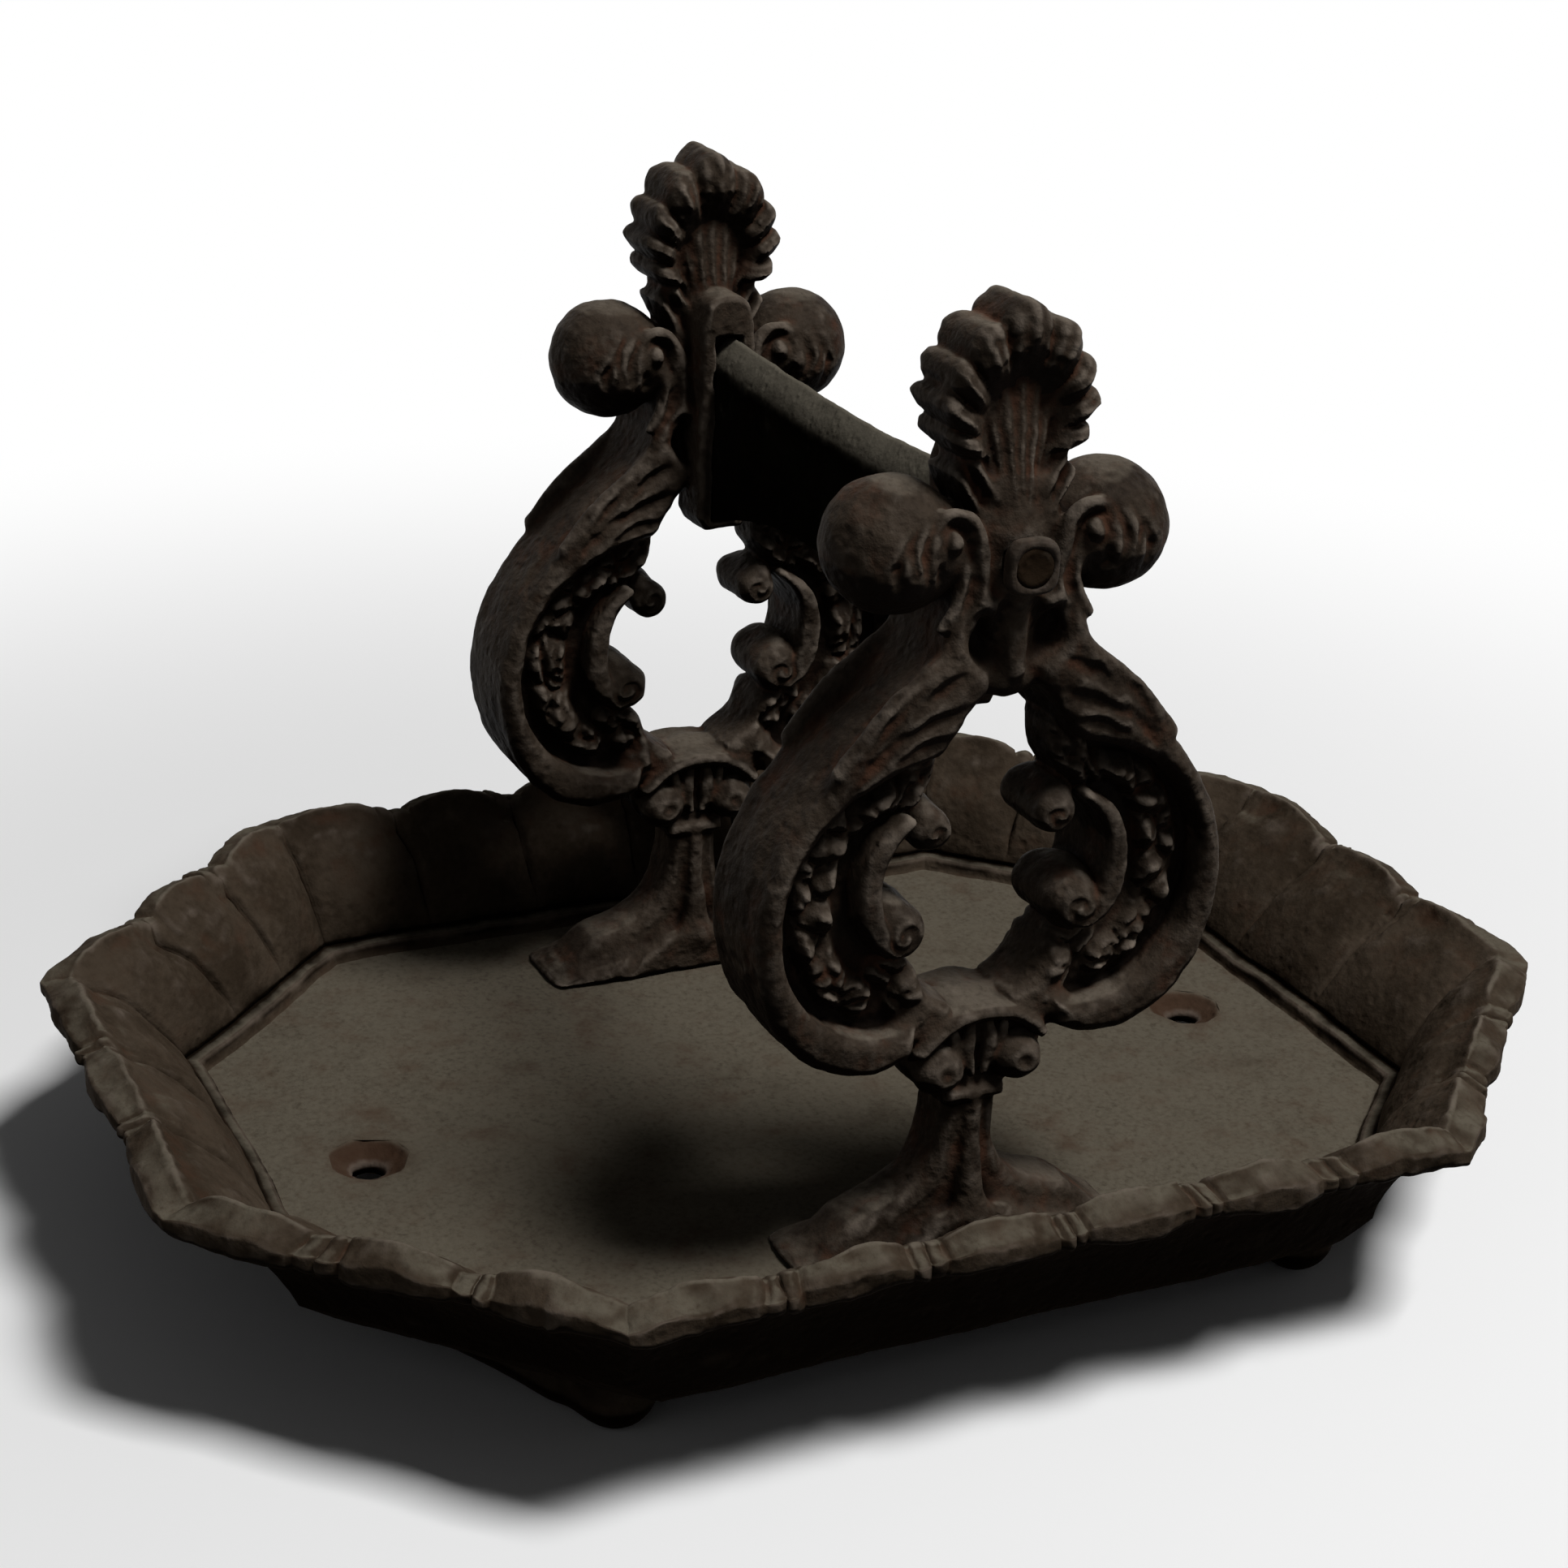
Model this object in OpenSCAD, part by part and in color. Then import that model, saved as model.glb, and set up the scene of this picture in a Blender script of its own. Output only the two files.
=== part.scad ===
// Cast iron boot scraper: an octagonal tray, two lyre supports and a blade between them.
// Millimetres. Z is up, the ground is Z = 0, the blade runs along X, the tray is longest along Y.

/* [Tray] */
// Length of the tray along Y, over the rim lobes
tray_length = 400; // [350:1:480]
// Width of the tray along X, over the rim lobes
tray_width = 304; // [280:1:380]
// Length cut off each side at the corners of the octagon
corner_cut = 82; // [60:1:100]
// Height of the rim above the floor
rim_height = 39.5; // [30:0.5:50]
// Thickness of the rim edge
rim_t = 6; // [4:0.5:10]
// Thickness of the floor
floor_t = 7; // [6:0.5:12]
// Width in plan of the flared wall along the long sides and the corners
wall_run = 25; // [18:0.5:32]
// Width in plan of the flared wall at the two ends
end_run = 34; // [26:0.5:38]
// How far the flared wall bows inwards
wall_bulge = 5; // [2:0.5:8]
// Thickness of the flared wall
wall_t = 5; // [4:0.5:8]
// Height of the ledge round the floor
ledge_h = 4; // [2:0.5:8]
// Width of the ledge round the floor
ledge_w = 6; // [3:0.5:10]
// How far the bottom edge is drawn in from the wall along the long sides
under_run = 1.5; // [0:0.5:8]
// How far the bottom edge is drawn in from the wall at the two ends
end_under = 12; // [0:0.5:13]
// How far the bottom edge is drawn in from the wall at the corners
corner_under = 8; // [0:0.5:10]
// How far each rim lobe swells out
lobe_rise = 4; // [2:0.5:7]
// Lobes on each side along Y
lobes_long = 6; // [4:1:8]
// Lobes on each side along X
lobes_short = 3; // [2:1:5]
// Lobes on each corner side
lobes_corner = 3; // [2:1:5]
// Radius of the beads between the lobes
bead_r = 3; // [2:0.5:4]
// Distance between the two beads of a pair
bead_gap = 5; // [4:0.5:7]
// How far the bead centres lie inside the notches
bead_in = 1.5; // [0.5:0.5:2]

/* [Tray feet] */
// Height of the feet
foot_h = 15; // [8:0.5:25]
// Radius of a foot at its tip
foot_tip_r = 7; // [5:0.5:10]
// Radius of a foot where it meets the tray
foot_top_r = 13; // [11:0.5:16]
// How far a foot reaches up into the tray wall
foot_in = 5; // [3:0.5:6]
// Distance between feet along X
foot_spacing_x = 206; // [160:1:215]
// Distance between feet along Y
foot_spacing_y = 202; // [160:1:225]

/* [Fixing holes] */
// Distance between the two fixing holes along Y
fix_spacing = 256; // [210:1:290]
// Diameter of a fixing hole
fix_d = 9; // [6:0.5:12]
// Diameter of the countersink at the floor
fix_csk_d = 21; // [16:0.5:26]
// Depth of the countersink
fix_csk_h = 4; // [2:0.5:5]

/* [Supports] */
// Distance between the support centres along X
support_spacing = 176; // [140:1:180]
// Thickness of the scrolls
scroll_t = 32; // [26:1:38]
// Thickness of the sunk field inside the scrolls
field_t = 18; // [12:1:22]
// Width of the raised lip round the field
lip_w = 7; // [5:0.5:9]
// Distance of the belly centre from the middle
belly_y = 29.5; // [26:0.5:33]
// Height of the belly centre above the tray floor
belly_z = 95.5; // [90:0.5:100]
// Radius of the belly
belly_r = 34.5; // [31:0.5:37]
// Distance of the shoulder centre from the middle
shoulder_y = 15.5; // [12:0.5:18]
// Height of the shoulder centre above the tray floor
shoulder_z = 107; // [102:0.5:112]
// Radius of the shoulder
shoulder_r = 47.5; // [44:0.5:50]
// Half width of the slot between the scrolls
slot_half = 15; // [13:0.5:18]
// Height of the foot of the arch
arch_foot_z = 138; // [132:0.5:144]
// Half width of the arch at its crown
arch_half = 8; // [5:0.5:11]
// Height of the crown of the arch
arch_z = 152; // [148:0.5:156]
// Distance of the inner C from the middle
bite_y = 19.5; // [18:0.5:22]
// Height of the inner C
bite_z = 107; // [104:0.5:110]
// Radius of the inner C
bite_r = 11.5; // [10:0.5:14]
// Width of the ridge round the inner C
ridge_w = 5; // [3:0.5:6]
// Radius of the leaf lobes in the field
leaf_r = 6.5; // [4:0.5:8]
// How far the leaf lobes grow out of the lip
leaf_lap = 1.5; // [1:0.5:3]
// Radius of the upper curl
curl_top_r = 7.5; // [5:0.5:9]
// Radius of the lower curl
curl_low_r = 9.5; // [7:0.5:11]
// Thickness of the curls over their round faces
curl_t = 36; // [33:1:42]
// Length of the leaf on each arm
husk_len = 42; // [32:1:48]
// Width of the leaf on each arm
husk_w = 12; // [8:0.5:15]
// Distance of the leaf on each arm from the arm's outer edge
husk_in = 10; // [7:0.5:13]
// How far the leaf on each arm stands out
husk_rise = 1.5; // [1:0.5:3]

/* [Neck and balls] */
// Half width of the neck
neck_half = 17; // [14:0.5:19]
// Height where the arms leave the neck
neck_z = 177; // [172:0.5:182]
// Height of the top of the neck
neck_top_z = 198; // [194:0.5:201]
// Thickness of the neck
neck_t = 28; // [24:1:32]
// Radius of the ball volutes
ball_r = 16; // [13:0.5:18]
// Distance of a ball centre from the middle
ball_y = 28.6; // [26:0.2:31]
// Height of the balls above the tray floor
ball_z = 190; // [186:0.5:194]
// Radius of the eye on each ball
eye_r = 4; // [2:0.5:5]
// Distance of an eye from the middle
eye_y = 20.5; // [18:0.5:23]
// Height of an eye above the tray floor
eye_z = 194; // [190:0.5:197]
// Width of the tongue that hangs under the nut
tongue_w = 8; // [5:0.5:11]
// Height of the tongue above the tray floor
tongue_z = 161; // [157:0.5:166]

/* [Shell] */
// Height of the shell centre above the tray floor
shell_z = 226.5; // [222:0.5:230]
// Radius of the shell over its lobes
shell_r = 21.5; // [19:0.5:25]
// Number of shell lobes
shell_lobes = 9; // [7:2:11]
// Radius of each shell lobe
shell_lobe_r = 4.8; // [4:0.1:5.6]
// Thickness of the shell over its lobes
shell_t = 26; // [22:1:30]
// Thickness of the sunk middle of the shell
shell_web_t = 12; // [10:1:16]
// Half width of the shell stalk
stalk_half = 12; // [9:0.5:14]
// Thickness of the shell stalk
stalk_t = 18; // [14:1:22]
// Width of the raised edge round the sunk middle
shell_lip = 4; // [2:0.5:6]
// Width of a shell flute
flute_w = 3; // [2:0.5:4]

/* [Cap, stem and base] */
// Half width of the arched cap
cap_half = 18.5; // [16:0.5:21]
// Height of the cap crown above the tray floor
cap_z = 71; // [68:0.5:74]
// Rise of the cap arch
cap_rise = 9; // [6:0.5:11]
// Thickness of the cap arch
cap_t = 4; // [3:0.5:6]
// Depth of the cap along X
cap_depth = 27; // [24:1:32]
// Half width of the block under the cap
block_half = 17.5; // [15:0.5:20]
// Thickness of the block under the cap
block_t = 22; // [18:1:26]
// How far the block reaches below the knob centres
block_drop = 4; // [2:0.5:6]
// Thickness of the knobs over their round faces
knob_t = 30; // [26:1:36]
// Radius of the knobs
knob_r = 6.5; // [5:0.5:7.5]
// Distance of a knob from the middle
knob_y = 11; // [9:0.5:12]
// Height of the knobs
knob_z = 55; // [52:0.5:57]
// Half width of the stem
stem_half = 9.5; // [8:0.5:12]
// Depth of the stem along X
stem_depth = 28; // [22:1:32]
// Width of a stem groove
groove_w = 3; // [2:0.5:4]
// Distance of a stem groove from the middle
groove_y = 4.75; // [4:0.25:5.5]
// Height of the foot of a stem groove
groove_low_z = 16; // [12:0.5:20]
// Height of the top of a stem groove
groove_top_z = 46; // [40:0.5:48]
// Depth of a stem groove
groove_h = 3; // [1:0.5:4]
// Half length of the base along Y
base_half = 45; // [40:0.5:52]
// Height of the base at its ends
base_end_h = 14; // [12:0.5:18]
// Radius of the hollow flare from stem to base
flare_r = 33; // [28:0.5:38]
// How far the flare cuts into the stem
flare_in = 1; // [0.5:0.5:2]
// Depth of the base along X
base_depth = 34; // [28:1:40]
// Radius of the small arch under the base
base_arch_r = 4; // [2:0.5:6]

/* [Blade] */
// Thickness of the blade
blade_t = 8; // [6:0.5:10]
// Height of the top edge above the tray floor at mid length
blade_top_z = 194.5; // [190:0.5:197]
// How much the top edge is worn down at mid length
blade_dip = 4.5; // [2:0.5:7]
// Height of the bottom edge at the lugs
blade_low_z = 146; // [144:0.5:150]
// Rise of the arched bottom edge at mid length
blade_arch = 12; // [6:0.5:16]
// Height of the bevel on the top edge
bevel_h = 8; // [4:0.5:10]
// Thickness left at the top edge
edge_t = 3; // [2:0.5:4]
// Depth of the blade in its lug
seat_depth = 6; // [4:0.5:8]
// Diameter of the tenons
tenon_d = 10; // [8:0.5:11]
// Height of the tenons above the tray floor
tenon_z = 187; // [183:0.5:188]

/* [Lug and nut] */
// Width of the lug
lug_w = 16; // [14:0.5:18]
// How far the lug stands in from the neck
lug_reach = 8; // [7:0.5:10]
// Depth of the lug below the blade
lug_floor = 3; // [2:0.5:4]
// Radius of the lug crown
lug_round = 10; // [9:0.5:14]
// Height of the lug crown above the tray floor
lug_top_z = 211; // [209:0.5:213]
// Width over the flats of the square nut
nut_w = 14; // [13:0.5:17]
// Thickness of the square nut
nut_t = 7; // [5:0.5:9]
// How far the tenon end lies below the nut face
tenon_sink = 1.5; // [0.5:0.5:3]

/* [Base bolts] */
// Distance between the two bolts of one support along Y
bolt_spacing = 58; // [48:1:64]
// Diameter of the bolt shank
bolt_d = 8; // [6:0.5:9]
// Depth of the bolt in the base
bolt_in = 10; // [7:0.5:11]
// Width of the square bolt head
bolt_head_w = 13; // [11:0.5:15]
// Height of the bolt head
bolt_head_h = 5; // [4:0.5:6]
// Diameter of the washers
washer_d = 18; // [16:0.5:20]
// Thickness of the washers
washer_t = 1.6; // [1:0.2:2.4]

/* [Fits] */
// Clearance round the blade, tenons and bolts
fit = 0.2; // [0.1:0.05:0.4]

/* [Hidden] */
$fn = 64;
iron = [0.20, 0.18, 0.16];
iron_dark = [0.16, 0.14, 0.13];
steel = [0.30, 0.28, 0.26];
// Overlap that makes two solids of one casting fuse
fuse = 0.5;
// How far a cut runs past the face that it opens
over = 1;
// Height of the tray floor above the ground
floor_z = foot_h + floor_t;
// Half sizes of the octagon through the rim notches
oct_x = tray_width / 2 - lobe_rise;
oct_y = tray_length / 2 - lobe_rise;
oct_d = (oct_x + oct_y - corner_cut) / sqrt(2);
// Offset of each corner side's middle along that side
oct_shift = (oct_y - oct_x) / sqrt(2);
// Flare arc of the wall, from the ledge to the rim
wall_rise = rim_height - ledge_h;
function wall_chord(run) = sqrt(run * run + wall_rise * wall_rise);
function wall_r(run) = (pow(wall_chord(run), 2) / 4 + wall_bulge * wall_bulge) / (2 * wall_bulge);
function wall_cu(run) = run / 2 + (wall_r(run) - wall_bulge) * wall_rise / wall_chord(run);
function wall_cz(run) = ledge_h + wall_rise / 2 - (wall_r(run) - wall_bulge) * run / wall_chord(run);
// Sides of the rim: direction, distance, shift along the side, length, lobes
SIDES = [
    [0, oct_x, 0, 2 * (oct_y - corner_cut), lobes_long],
    [45, oct_d, oct_shift, corner_cut * sqrt(2), lobes_corner],
    [90, oct_y, 0, 2 * (oct_x - corner_cut), lobes_short],
    [135, oct_d, -oct_shift, corner_cut * sqrt(2), lobes_corner],
    [180, oct_x, 0, 2 * (oct_y - corner_cut), lobes_long],
    [225, oct_d, oct_shift, corner_cut * sqrt(2), lobes_corner],
    [270, oct_y, 0, 2 * (oct_x - corner_cut), lobes_short],
    [315, oct_d, -oct_shift, corner_cut * sqrt(2), lobes_corner]
];
// Place of a support and of its faces along X
support_x = support_spacing / 2;
neck_face = neck_t / 2;
lug_face = neck_face + lug_reach;
// Blade arcs
blade_half = support_x - lug_face + seat_depth - fit;
dip_half = support_x - lug_face;
dip_r = (dip_half * dip_half + blade_dip * blade_dip) / (2 * blade_dip);
arch_r = (dip_half * dip_half + blade_arch * blade_arch) / (2 * blade_arch);
tenon_end = neck_face + nut_t - tenon_sink;
// Shoulder line of the arms, tangent to the shoulder
arm_dist = sqrt(pow(neck_half - shoulder_y, 2) + pow(neck_z - shoulder_z, 2));
arm_ang = atan2(neck_z - shoulder_z, neck_half - shoulder_y) - acos(shoulder_r / arm_dist);
// Eyes half sunk in the balls
eye_x = sqrt(pow(ball_r, 2) - pow(ball_y - eye_y, 2) - pow(eye_z - ball_z, 2));
// Place and slope of the leaf on each arm, along the middle of the arm
arm_end_y = shoulder_y + shoulder_r * cos(arm_ang);
arm_end_z = shoulder_z + shoulder_r * sin(arm_ang);
husk_ang = atan2(neck_z - arm_end_z, neck_half - arm_end_y);
husk_y = (neck_half + arm_end_y) / 2 - husk_in * cos(husk_ang - 90);
husk_z = (neck_z + arm_end_z) / 2 - husk_in * sin(husk_ang - 90);
// Cap arc
cap_r = (cap_half * cap_half + cap_rise * cap_rise) / (2 * cap_rise);
// Angles of the leaf lobes round the belly
LEAF_ANGLES = [-75, -42, -9, 24, 57];
leaf_ring = belly_r - lip_w - leaf_r + leaf_lap;
leaf_top_ang = 36;
leaf_top_ring = shoulder_r - lip_w - leaf_r + leaf_lap;
// Angles of the shell lobes
shell_spread = 220;
SHELL_ANGLES = [for (i = [0 : shell_lobes - 1]) 90 + (i / (shell_lobes - 1) - 0.5) * shell_spread];
shell_ring = shell_r - shell_lobe_r;
shell_foot_z = shell_z - shell_ring;

// Extrudes a profile drawn across a side, along that side
module along(ang, len) {
    rotate([0, 0, ang])
        rotate([90, 0, 0])
            linear_extrude(height = len, center = true)
                children();
}

// Extrudes an outline drawn in Y and Z, along X
module slab(t) {
    rotate([90, 0, 90])
        linear_extrude(height = t, center = true)
            children();
}

// Both halves of an outline about the middle
module both() {
    children();
    mirror([1, 0])
        children();
}

// Both halves of a solid about the middle plane Y = 0
module both_y() {
    children();
    mirror([0, 1, 0])
        children();
}

// Round-ended bar along X, centred
module pill(r, t) {
    rotate([0, 90, 0])
        rotate_extrude()
            intersection() {
                union() {
                    translate([0, -(t / 2 - r)])
                        square([r, t - 2 * r]);
                    translate([0, t / 2 - r])
                        circle(r);
                    translate([0, -(t / 2 - r)])
                        circle(r);
                }
                translate([0, -t])
                    square([2 * r, 2 * t]);
            }
}

// Octagon of the tray, drawn in by an inset
module octagon(inset) {
    intersection() {
        square([2 * (oct_x - inset), 2 * (oct_y - inset)], center = true);
        rotate(45)
            square(2 * (oct_d - inset), center = true);
    }
}

// Floor in plan, inside the ledge
module floor_plan() {
    intersection() {
        octagon(wall_run + ledge_w);
        square([2 * oct_x, 2 * (oct_y - end_run - ledge_w)], center = true);
    }
}

// Rim in plan, with its lobes and the bead pairs between them
module rim_plan() {
    octagon(0);
    for (s = SIDES) {
        pitch = s[3] / s[4];
        lobe_r = (pitch * pitch / 4 + lobe_rise * lobe_rise) / (2 * lobe_rise);
        for (i = [0 : s[4] - 1])
            rotate(s[0])
                translate([s[1], s[2] + (i - (s[4] - 1) / 2) * pitch]) {
                    translate([lobe_rise - lobe_r, 0])
                        circle(lobe_r);
                    for (k = [-1, 1])
                        translate([-bead_in, k * bead_gap / 2 - pitch / 2])
                            circle(bead_r);
                }
    }
}

// Section of the hollow across one pair of sides
module hollow_section(half, run) {
    reach = half + lobe_rise + over;
    difference() {
        translate([-reach, ledge_h])
            square([2 * reach, rim_height]);
        both()
            translate([half - run + wall_cu(run), wall_cz(run)])
                circle(wall_r(run));
    }
}

// Section of the outside across one pair of sides
module body_section(half, run, under) {
    foot = half - run;
    difference() {
        both()
            polygon([
                [0, -floor_t],
                [foot - under, -floor_t],
                [foot + wall_t, ledge_h - over],
                [half, ledge_h - over],
                [half, rim_height - rim_t + fuse],
                [0, rim_height - rim_t + fuse]
            ]);
        both()
            translate([foot + wall_cu(run), wall_cz(run)])
                circle(wall_r(run) - wall_t);
    }
}

// One foot, with a hollow flank
module tray_foot() {
    hollow = (pow(foot_top_r - foot_tip_r, 2) + pow(foot_h, 2)) / (2 * (foot_top_r - foot_tip_r));
    rotate_extrude()
        difference() {
            square([foot_top_r, foot_h + foot_in]);
            translate([foot_tip_r + hollow, 0])
                circle(hollow);
        }
}

module tray() {
    color(iron)
        difference() {
            union() {
                translate([0, 0, floor_z])
                    intersection() {
                        along(0, 2 * tray_length) body_section(oct_x, wall_run, under_run);
                        along(90, 2 * tray_length) body_section(oct_y, end_run, end_under);
                        along(45, 2 * tray_length) body_section(oct_d, wall_run, corner_under);
                        along(135, 2 * tray_length) body_section(oct_d, wall_run, corner_under);
                    }
                translate([0, 0, floor_z + rim_height - rim_t])
                    linear_extrude(height = rim_t)
                        rim_plan();
                for (x = [-1, 1], y = [-1, 1])
                    translate([x * foot_spacing_x / 2, y * foot_spacing_y / 2, 0])
                        tray_foot();
            }
            translate([0, 0, floor_z])
                intersection() {
                    along(0, 2 * tray_length) hollow_section(oct_x, wall_run);
                    along(90, 2 * tray_length) hollow_section(oct_y, end_run);
                    along(45, 2 * tray_length) hollow_section(oct_d, wall_run);
                    along(135, 2 * tray_length) hollow_section(oct_d, wall_run);
                }
            translate([0, 0, floor_z])
                linear_extrude(height = ledge_h + over)
                    floor_plan();
            for (y = [-1, 1])
                translate([0, y * fix_spacing / 2, 0]) {
                    cylinder(d = fix_d, h = floor_z + over);
                    translate([0, 0, floor_z - fix_csk_h])
                        cylinder(d1 = fix_d, d2 = fix_csk_d, h = fix_csk_h);
                }
            for (x = [-1, 1], y = [-1, 1])
                translate([x * support_x, y * bolt_spacing / 2, foot_h - over])
                    cylinder(d = bolt_d + 2 * fit, h = floor_t + 2 * over);
        }
}

// Right half of the lyre in outline, with the opening cut
module lyre_half() {
    difference() {
        union() {
            translate([belly_y, belly_z])
                circle(belly_r);
            intersection() {
                translate([shoulder_y, shoulder_z])
                    circle(shoulder_r);
                translate([0, belly_z])
                    square([shoulder_y + shoulder_r, arch_z - belly_z]);
            }
            polygon([
                [0, shoulder_z],
                [0, neck_z],
                [neck_half, neck_z],
                [arm_end_y, arm_end_z],
                [shoulder_y, shoulder_z]
            ]);
        }
        polygon([
            [-fuse, cap_z],
            [slot_half, cap_z],
            [slot_half, arch_foot_z],
            [arch_half, arch_z],
            [-fuse, arch_z]
        ]);
        translate([bite_y, bite_z])
            circle(bite_r);
        translate([-belly_r, belly_z - belly_r - over])
            square([belly_r, cap_z]);
    }
}

// Sunk field of one scroll, round its ridge and leaf lobes
module field_half() {
    difference() {
        union() {
            translate([belly_y, belly_z])
                circle(belly_r - lip_w);
            intersection() {
                translate([shoulder_y, shoulder_z])
                    circle(shoulder_r - lip_w);
                translate([0, belly_z])
                    square([shoulder_y + shoulder_r, arch_foot_z - belly_z]);
            }
        }
        translate([-belly_r, 0])
            square([belly_r + slot_half - lip_w, arch_z]);
        translate([bite_y, bite_z])
            circle(bite_r + ridge_w);
        for (a = LEAF_ANGLES)
            translate([belly_y + leaf_ring * cos(a), belly_z + leaf_ring * sin(a)])
                circle(leaf_r);
        translate([shoulder_y, shoulder_z])
            rotate(leaf_top_ang)
                translate([leaf_top_ring, 0])
                    circle(leaf_r);
    }
}

// Pointed leaf in outline, lying along Y
module leaf_plan(len, wid) {
    leaf_arc = (len * len / 4 + wid * wid / 4) / wid;
    intersection() {
        translate([0, leaf_arc - wid / 2])
            circle(leaf_arc);
        translate([0, wid / 2 - leaf_arc])
            circle(leaf_arc);
    }
}

// Shell finial: a ring of lobes round a sunk middle with flutes that run to the stalk
module shell() {
    difference() {
        slab(shell_t)
            union() {
                translate([0, shell_z])
                    circle(shell_ring);
                for (a = SHELL_ANGLES)
                    translate([shell_ring * cos(a), shell_z + shell_ring * sin(a)])
                        circle(shell_lobe_r);
            }
        for (f = [-1, 1])
            translate([f * (shell_web_t + shell_t) / 2, 0, 0])
                slab(shell_t)
                    difference() {
                        translate([0, shell_z])
                            circle(shell_ring - shell_lip);
                        for (a = SHELL_ANGLES)
                            translate([0, shell_foot_z])
                                rotate(a)
                                    translate([0, -flute_w / 2])
                                        square([2 * shell_r, flute_w]);
                    }
    }
    slab(stalk_t)
        translate([-stalk_half, neck_z])
            square([2 * stalk_half, shell_z - shell_ring / 2 - neck_z]);
}

// Cap, block, knobs, stem and base under the scrolls
module lower_part() {
    slab(cap_depth)
        difference() {
            translate([0, cap_z - cap_r])
                circle(cap_r);
            translate([0, cap_z - cap_r])
                circle(cap_r - cap_t);
            translate([-2 * cap_r, cap_z - cap_rise - 2 * cap_r])
                square([4 * cap_r, 2 * cap_r]);
        }
    slab(block_t)
        translate([-block_half, knob_z - block_drop])
            square([2 * block_half, cap_z - cap_t - knob_z + block_drop]);
    both_y()
        translate([0, knob_y, knob_z])
            pill(knob_r, knob_t);
    difference() {
        slab(stem_depth)
            translate([-stem_half, base_end_h / 2])
                square([2 * stem_half, knob_z - base_end_h / 2]);
        both_y()
            for (f = [-1, 1])
                translate([f * stem_depth / 2, groove_y, (groove_low_z + groove_top_z) / 2])
                    cube([2 * groove_h, groove_w, groove_top_z - groove_low_z], center = true);
    }
    difference() {
        slab(base_depth)
            difference() {
                translate([-base_half, 0])
                    square([2 * base_half, base_end_h + flare_r]);
                both()
                    translate([stem_half + flare_r - flare_in, base_end_h + flare_r])
                        circle(flare_r);
                circle(base_arch_r);
            }
        both_y()
            translate([0, bolt_spacing / 2, -over])
                cylinder(d = bolt_d + 2 * fit, h = bolt_in + over + fit);
    }
}

// Scrolls with their sunk fields, leaves on the arms and curls in the opening
module scrolls() {
    difference() {
        slab(scroll_t)
            both() lyre_half();
        for (f = [-1, 1])
            translate([f * (field_t + scroll_t) / 2, 0, 0])
                slab(scroll_t)
                    both() field_half();
    }
    slab(scroll_t + 2 * husk_rise)
        both()
            translate([husk_y, husk_z])
                rotate(husk_ang)
                    leaf_plan(husk_len, husk_w);
    both_y() {
        translate([0, bite_y, bite_z + bite_r])
            pill(curl_top_r, curl_t);
        translate([0, bite_y + curl_low_r - ridge_w / 2, bite_z - bite_r - ridge_w / 2])
            pill(curl_low_r, curl_t);
    }
}

// Neck with its balls, blade lug and tongue
module neck() {
    slab(neck_t)
        translate([-neck_half, arch_z])
            square([2 * neck_half, neck_top_z - arch_z]);
    both_y() {
        translate([0, ball_y, ball_z])
            sphere(ball_r);
        for (f = [-1, 1])
            translate([f * eye_x, eye_y, eye_z])
                sphere(eye_r);
    }
    translate([-lug_face / 2, 0, 0])
        slab(lug_face)
            intersection() {
                translate([-lug_w / 2, blade_low_z - lug_floor])
                    square([lug_w, lug_top_z - blade_low_z + lug_floor]);
                translate([0, lug_top_z - lug_round])
                    union() {
                        circle(lug_round);
                        translate([-lug_w, -lug_top_z])
                            square([2 * lug_w, lug_top_z]);
                    }
            }
    translate([neck_face, 0, tongue_z])
        sphere(tongue_w / 2);
}

// One support casting, centred on X = 0 with its base on Z = 0 and its blade lug towards -X
module support_casting() {
    difference() {
        union() {
            scrolls();
            neck();
            shell();
            lower_part();
        }
        translate([-lug_face + seat_depth / 2 - fuse, 0, 0])
            slab(seat_depth + 2 * fuse)
                translate([-blade_t / 2 - fit, blade_low_z - fit])
                    square([blade_t + 2 * fit, blade_top_z + blade_dip + 2 * fit - blade_low_z]);
        translate([0, 0, tenon_z])
            rotate([0, 90, 0])
                cylinder(d = tenon_d + 2 * fit, h = 4 * scroll_t, center = true);
    }
}

module front_support() {
    color(iron_dark)
        translate([support_x, 0, floor_z])
            support_casting();
}

module rear_support() {
    color(iron_dark)
        translate([-support_x, 0, floor_z])
            rotate([0, 0, 180])
                support_casting();
}

module scraper_blade() {
    color(iron)
        translate([0, 0, floor_z])
            union() {
                intersection() {
                    rotate([90, 0, 0])
                        linear_extrude(height = blade_t, center = true)
                            difference() {
                                translate([-blade_half, blade_low_z])
                                    square([2 * blade_half, blade_top_z + blade_dip - blade_low_z]);
                                intersection() {
                                    translate([0, blade_low_z + blade_arch - arch_r])
                                        circle(arch_r, $fn = 128);
                                    translate([-dip_half, blade_low_z - over])
                                        square([2 * dip_half, 2 * blade_arch]);
                                }
                            }
                    translate([0, 0, blade_top_z + dip_r])
                        rotate([90, 0, 0])
                            rotate_extrude($fn = 128)
                                polygon([
                                    [dip_r, -edge_t / 2],
                                    [dip_r + bevel_h, -blade_t / 2],
                                    [dip_r + blade_half + blade_top_z, -blade_t / 2],
                                    [dip_r + blade_half + blade_top_z, blade_t / 2],
                                    [dip_r + bevel_h, blade_t / 2],
                                    [dip_r, edge_t / 2]
                                ]);
                }
                for (s = [0, 180])
                    rotate([0, 0, s])
                        translate([blade_half - fuse, 0, tenon_z])
                            rotate([0, 90, 0])
                                cylinder(d = tenon_d, h = support_x + tenon_end - blade_half + fuse);
            }
}

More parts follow.
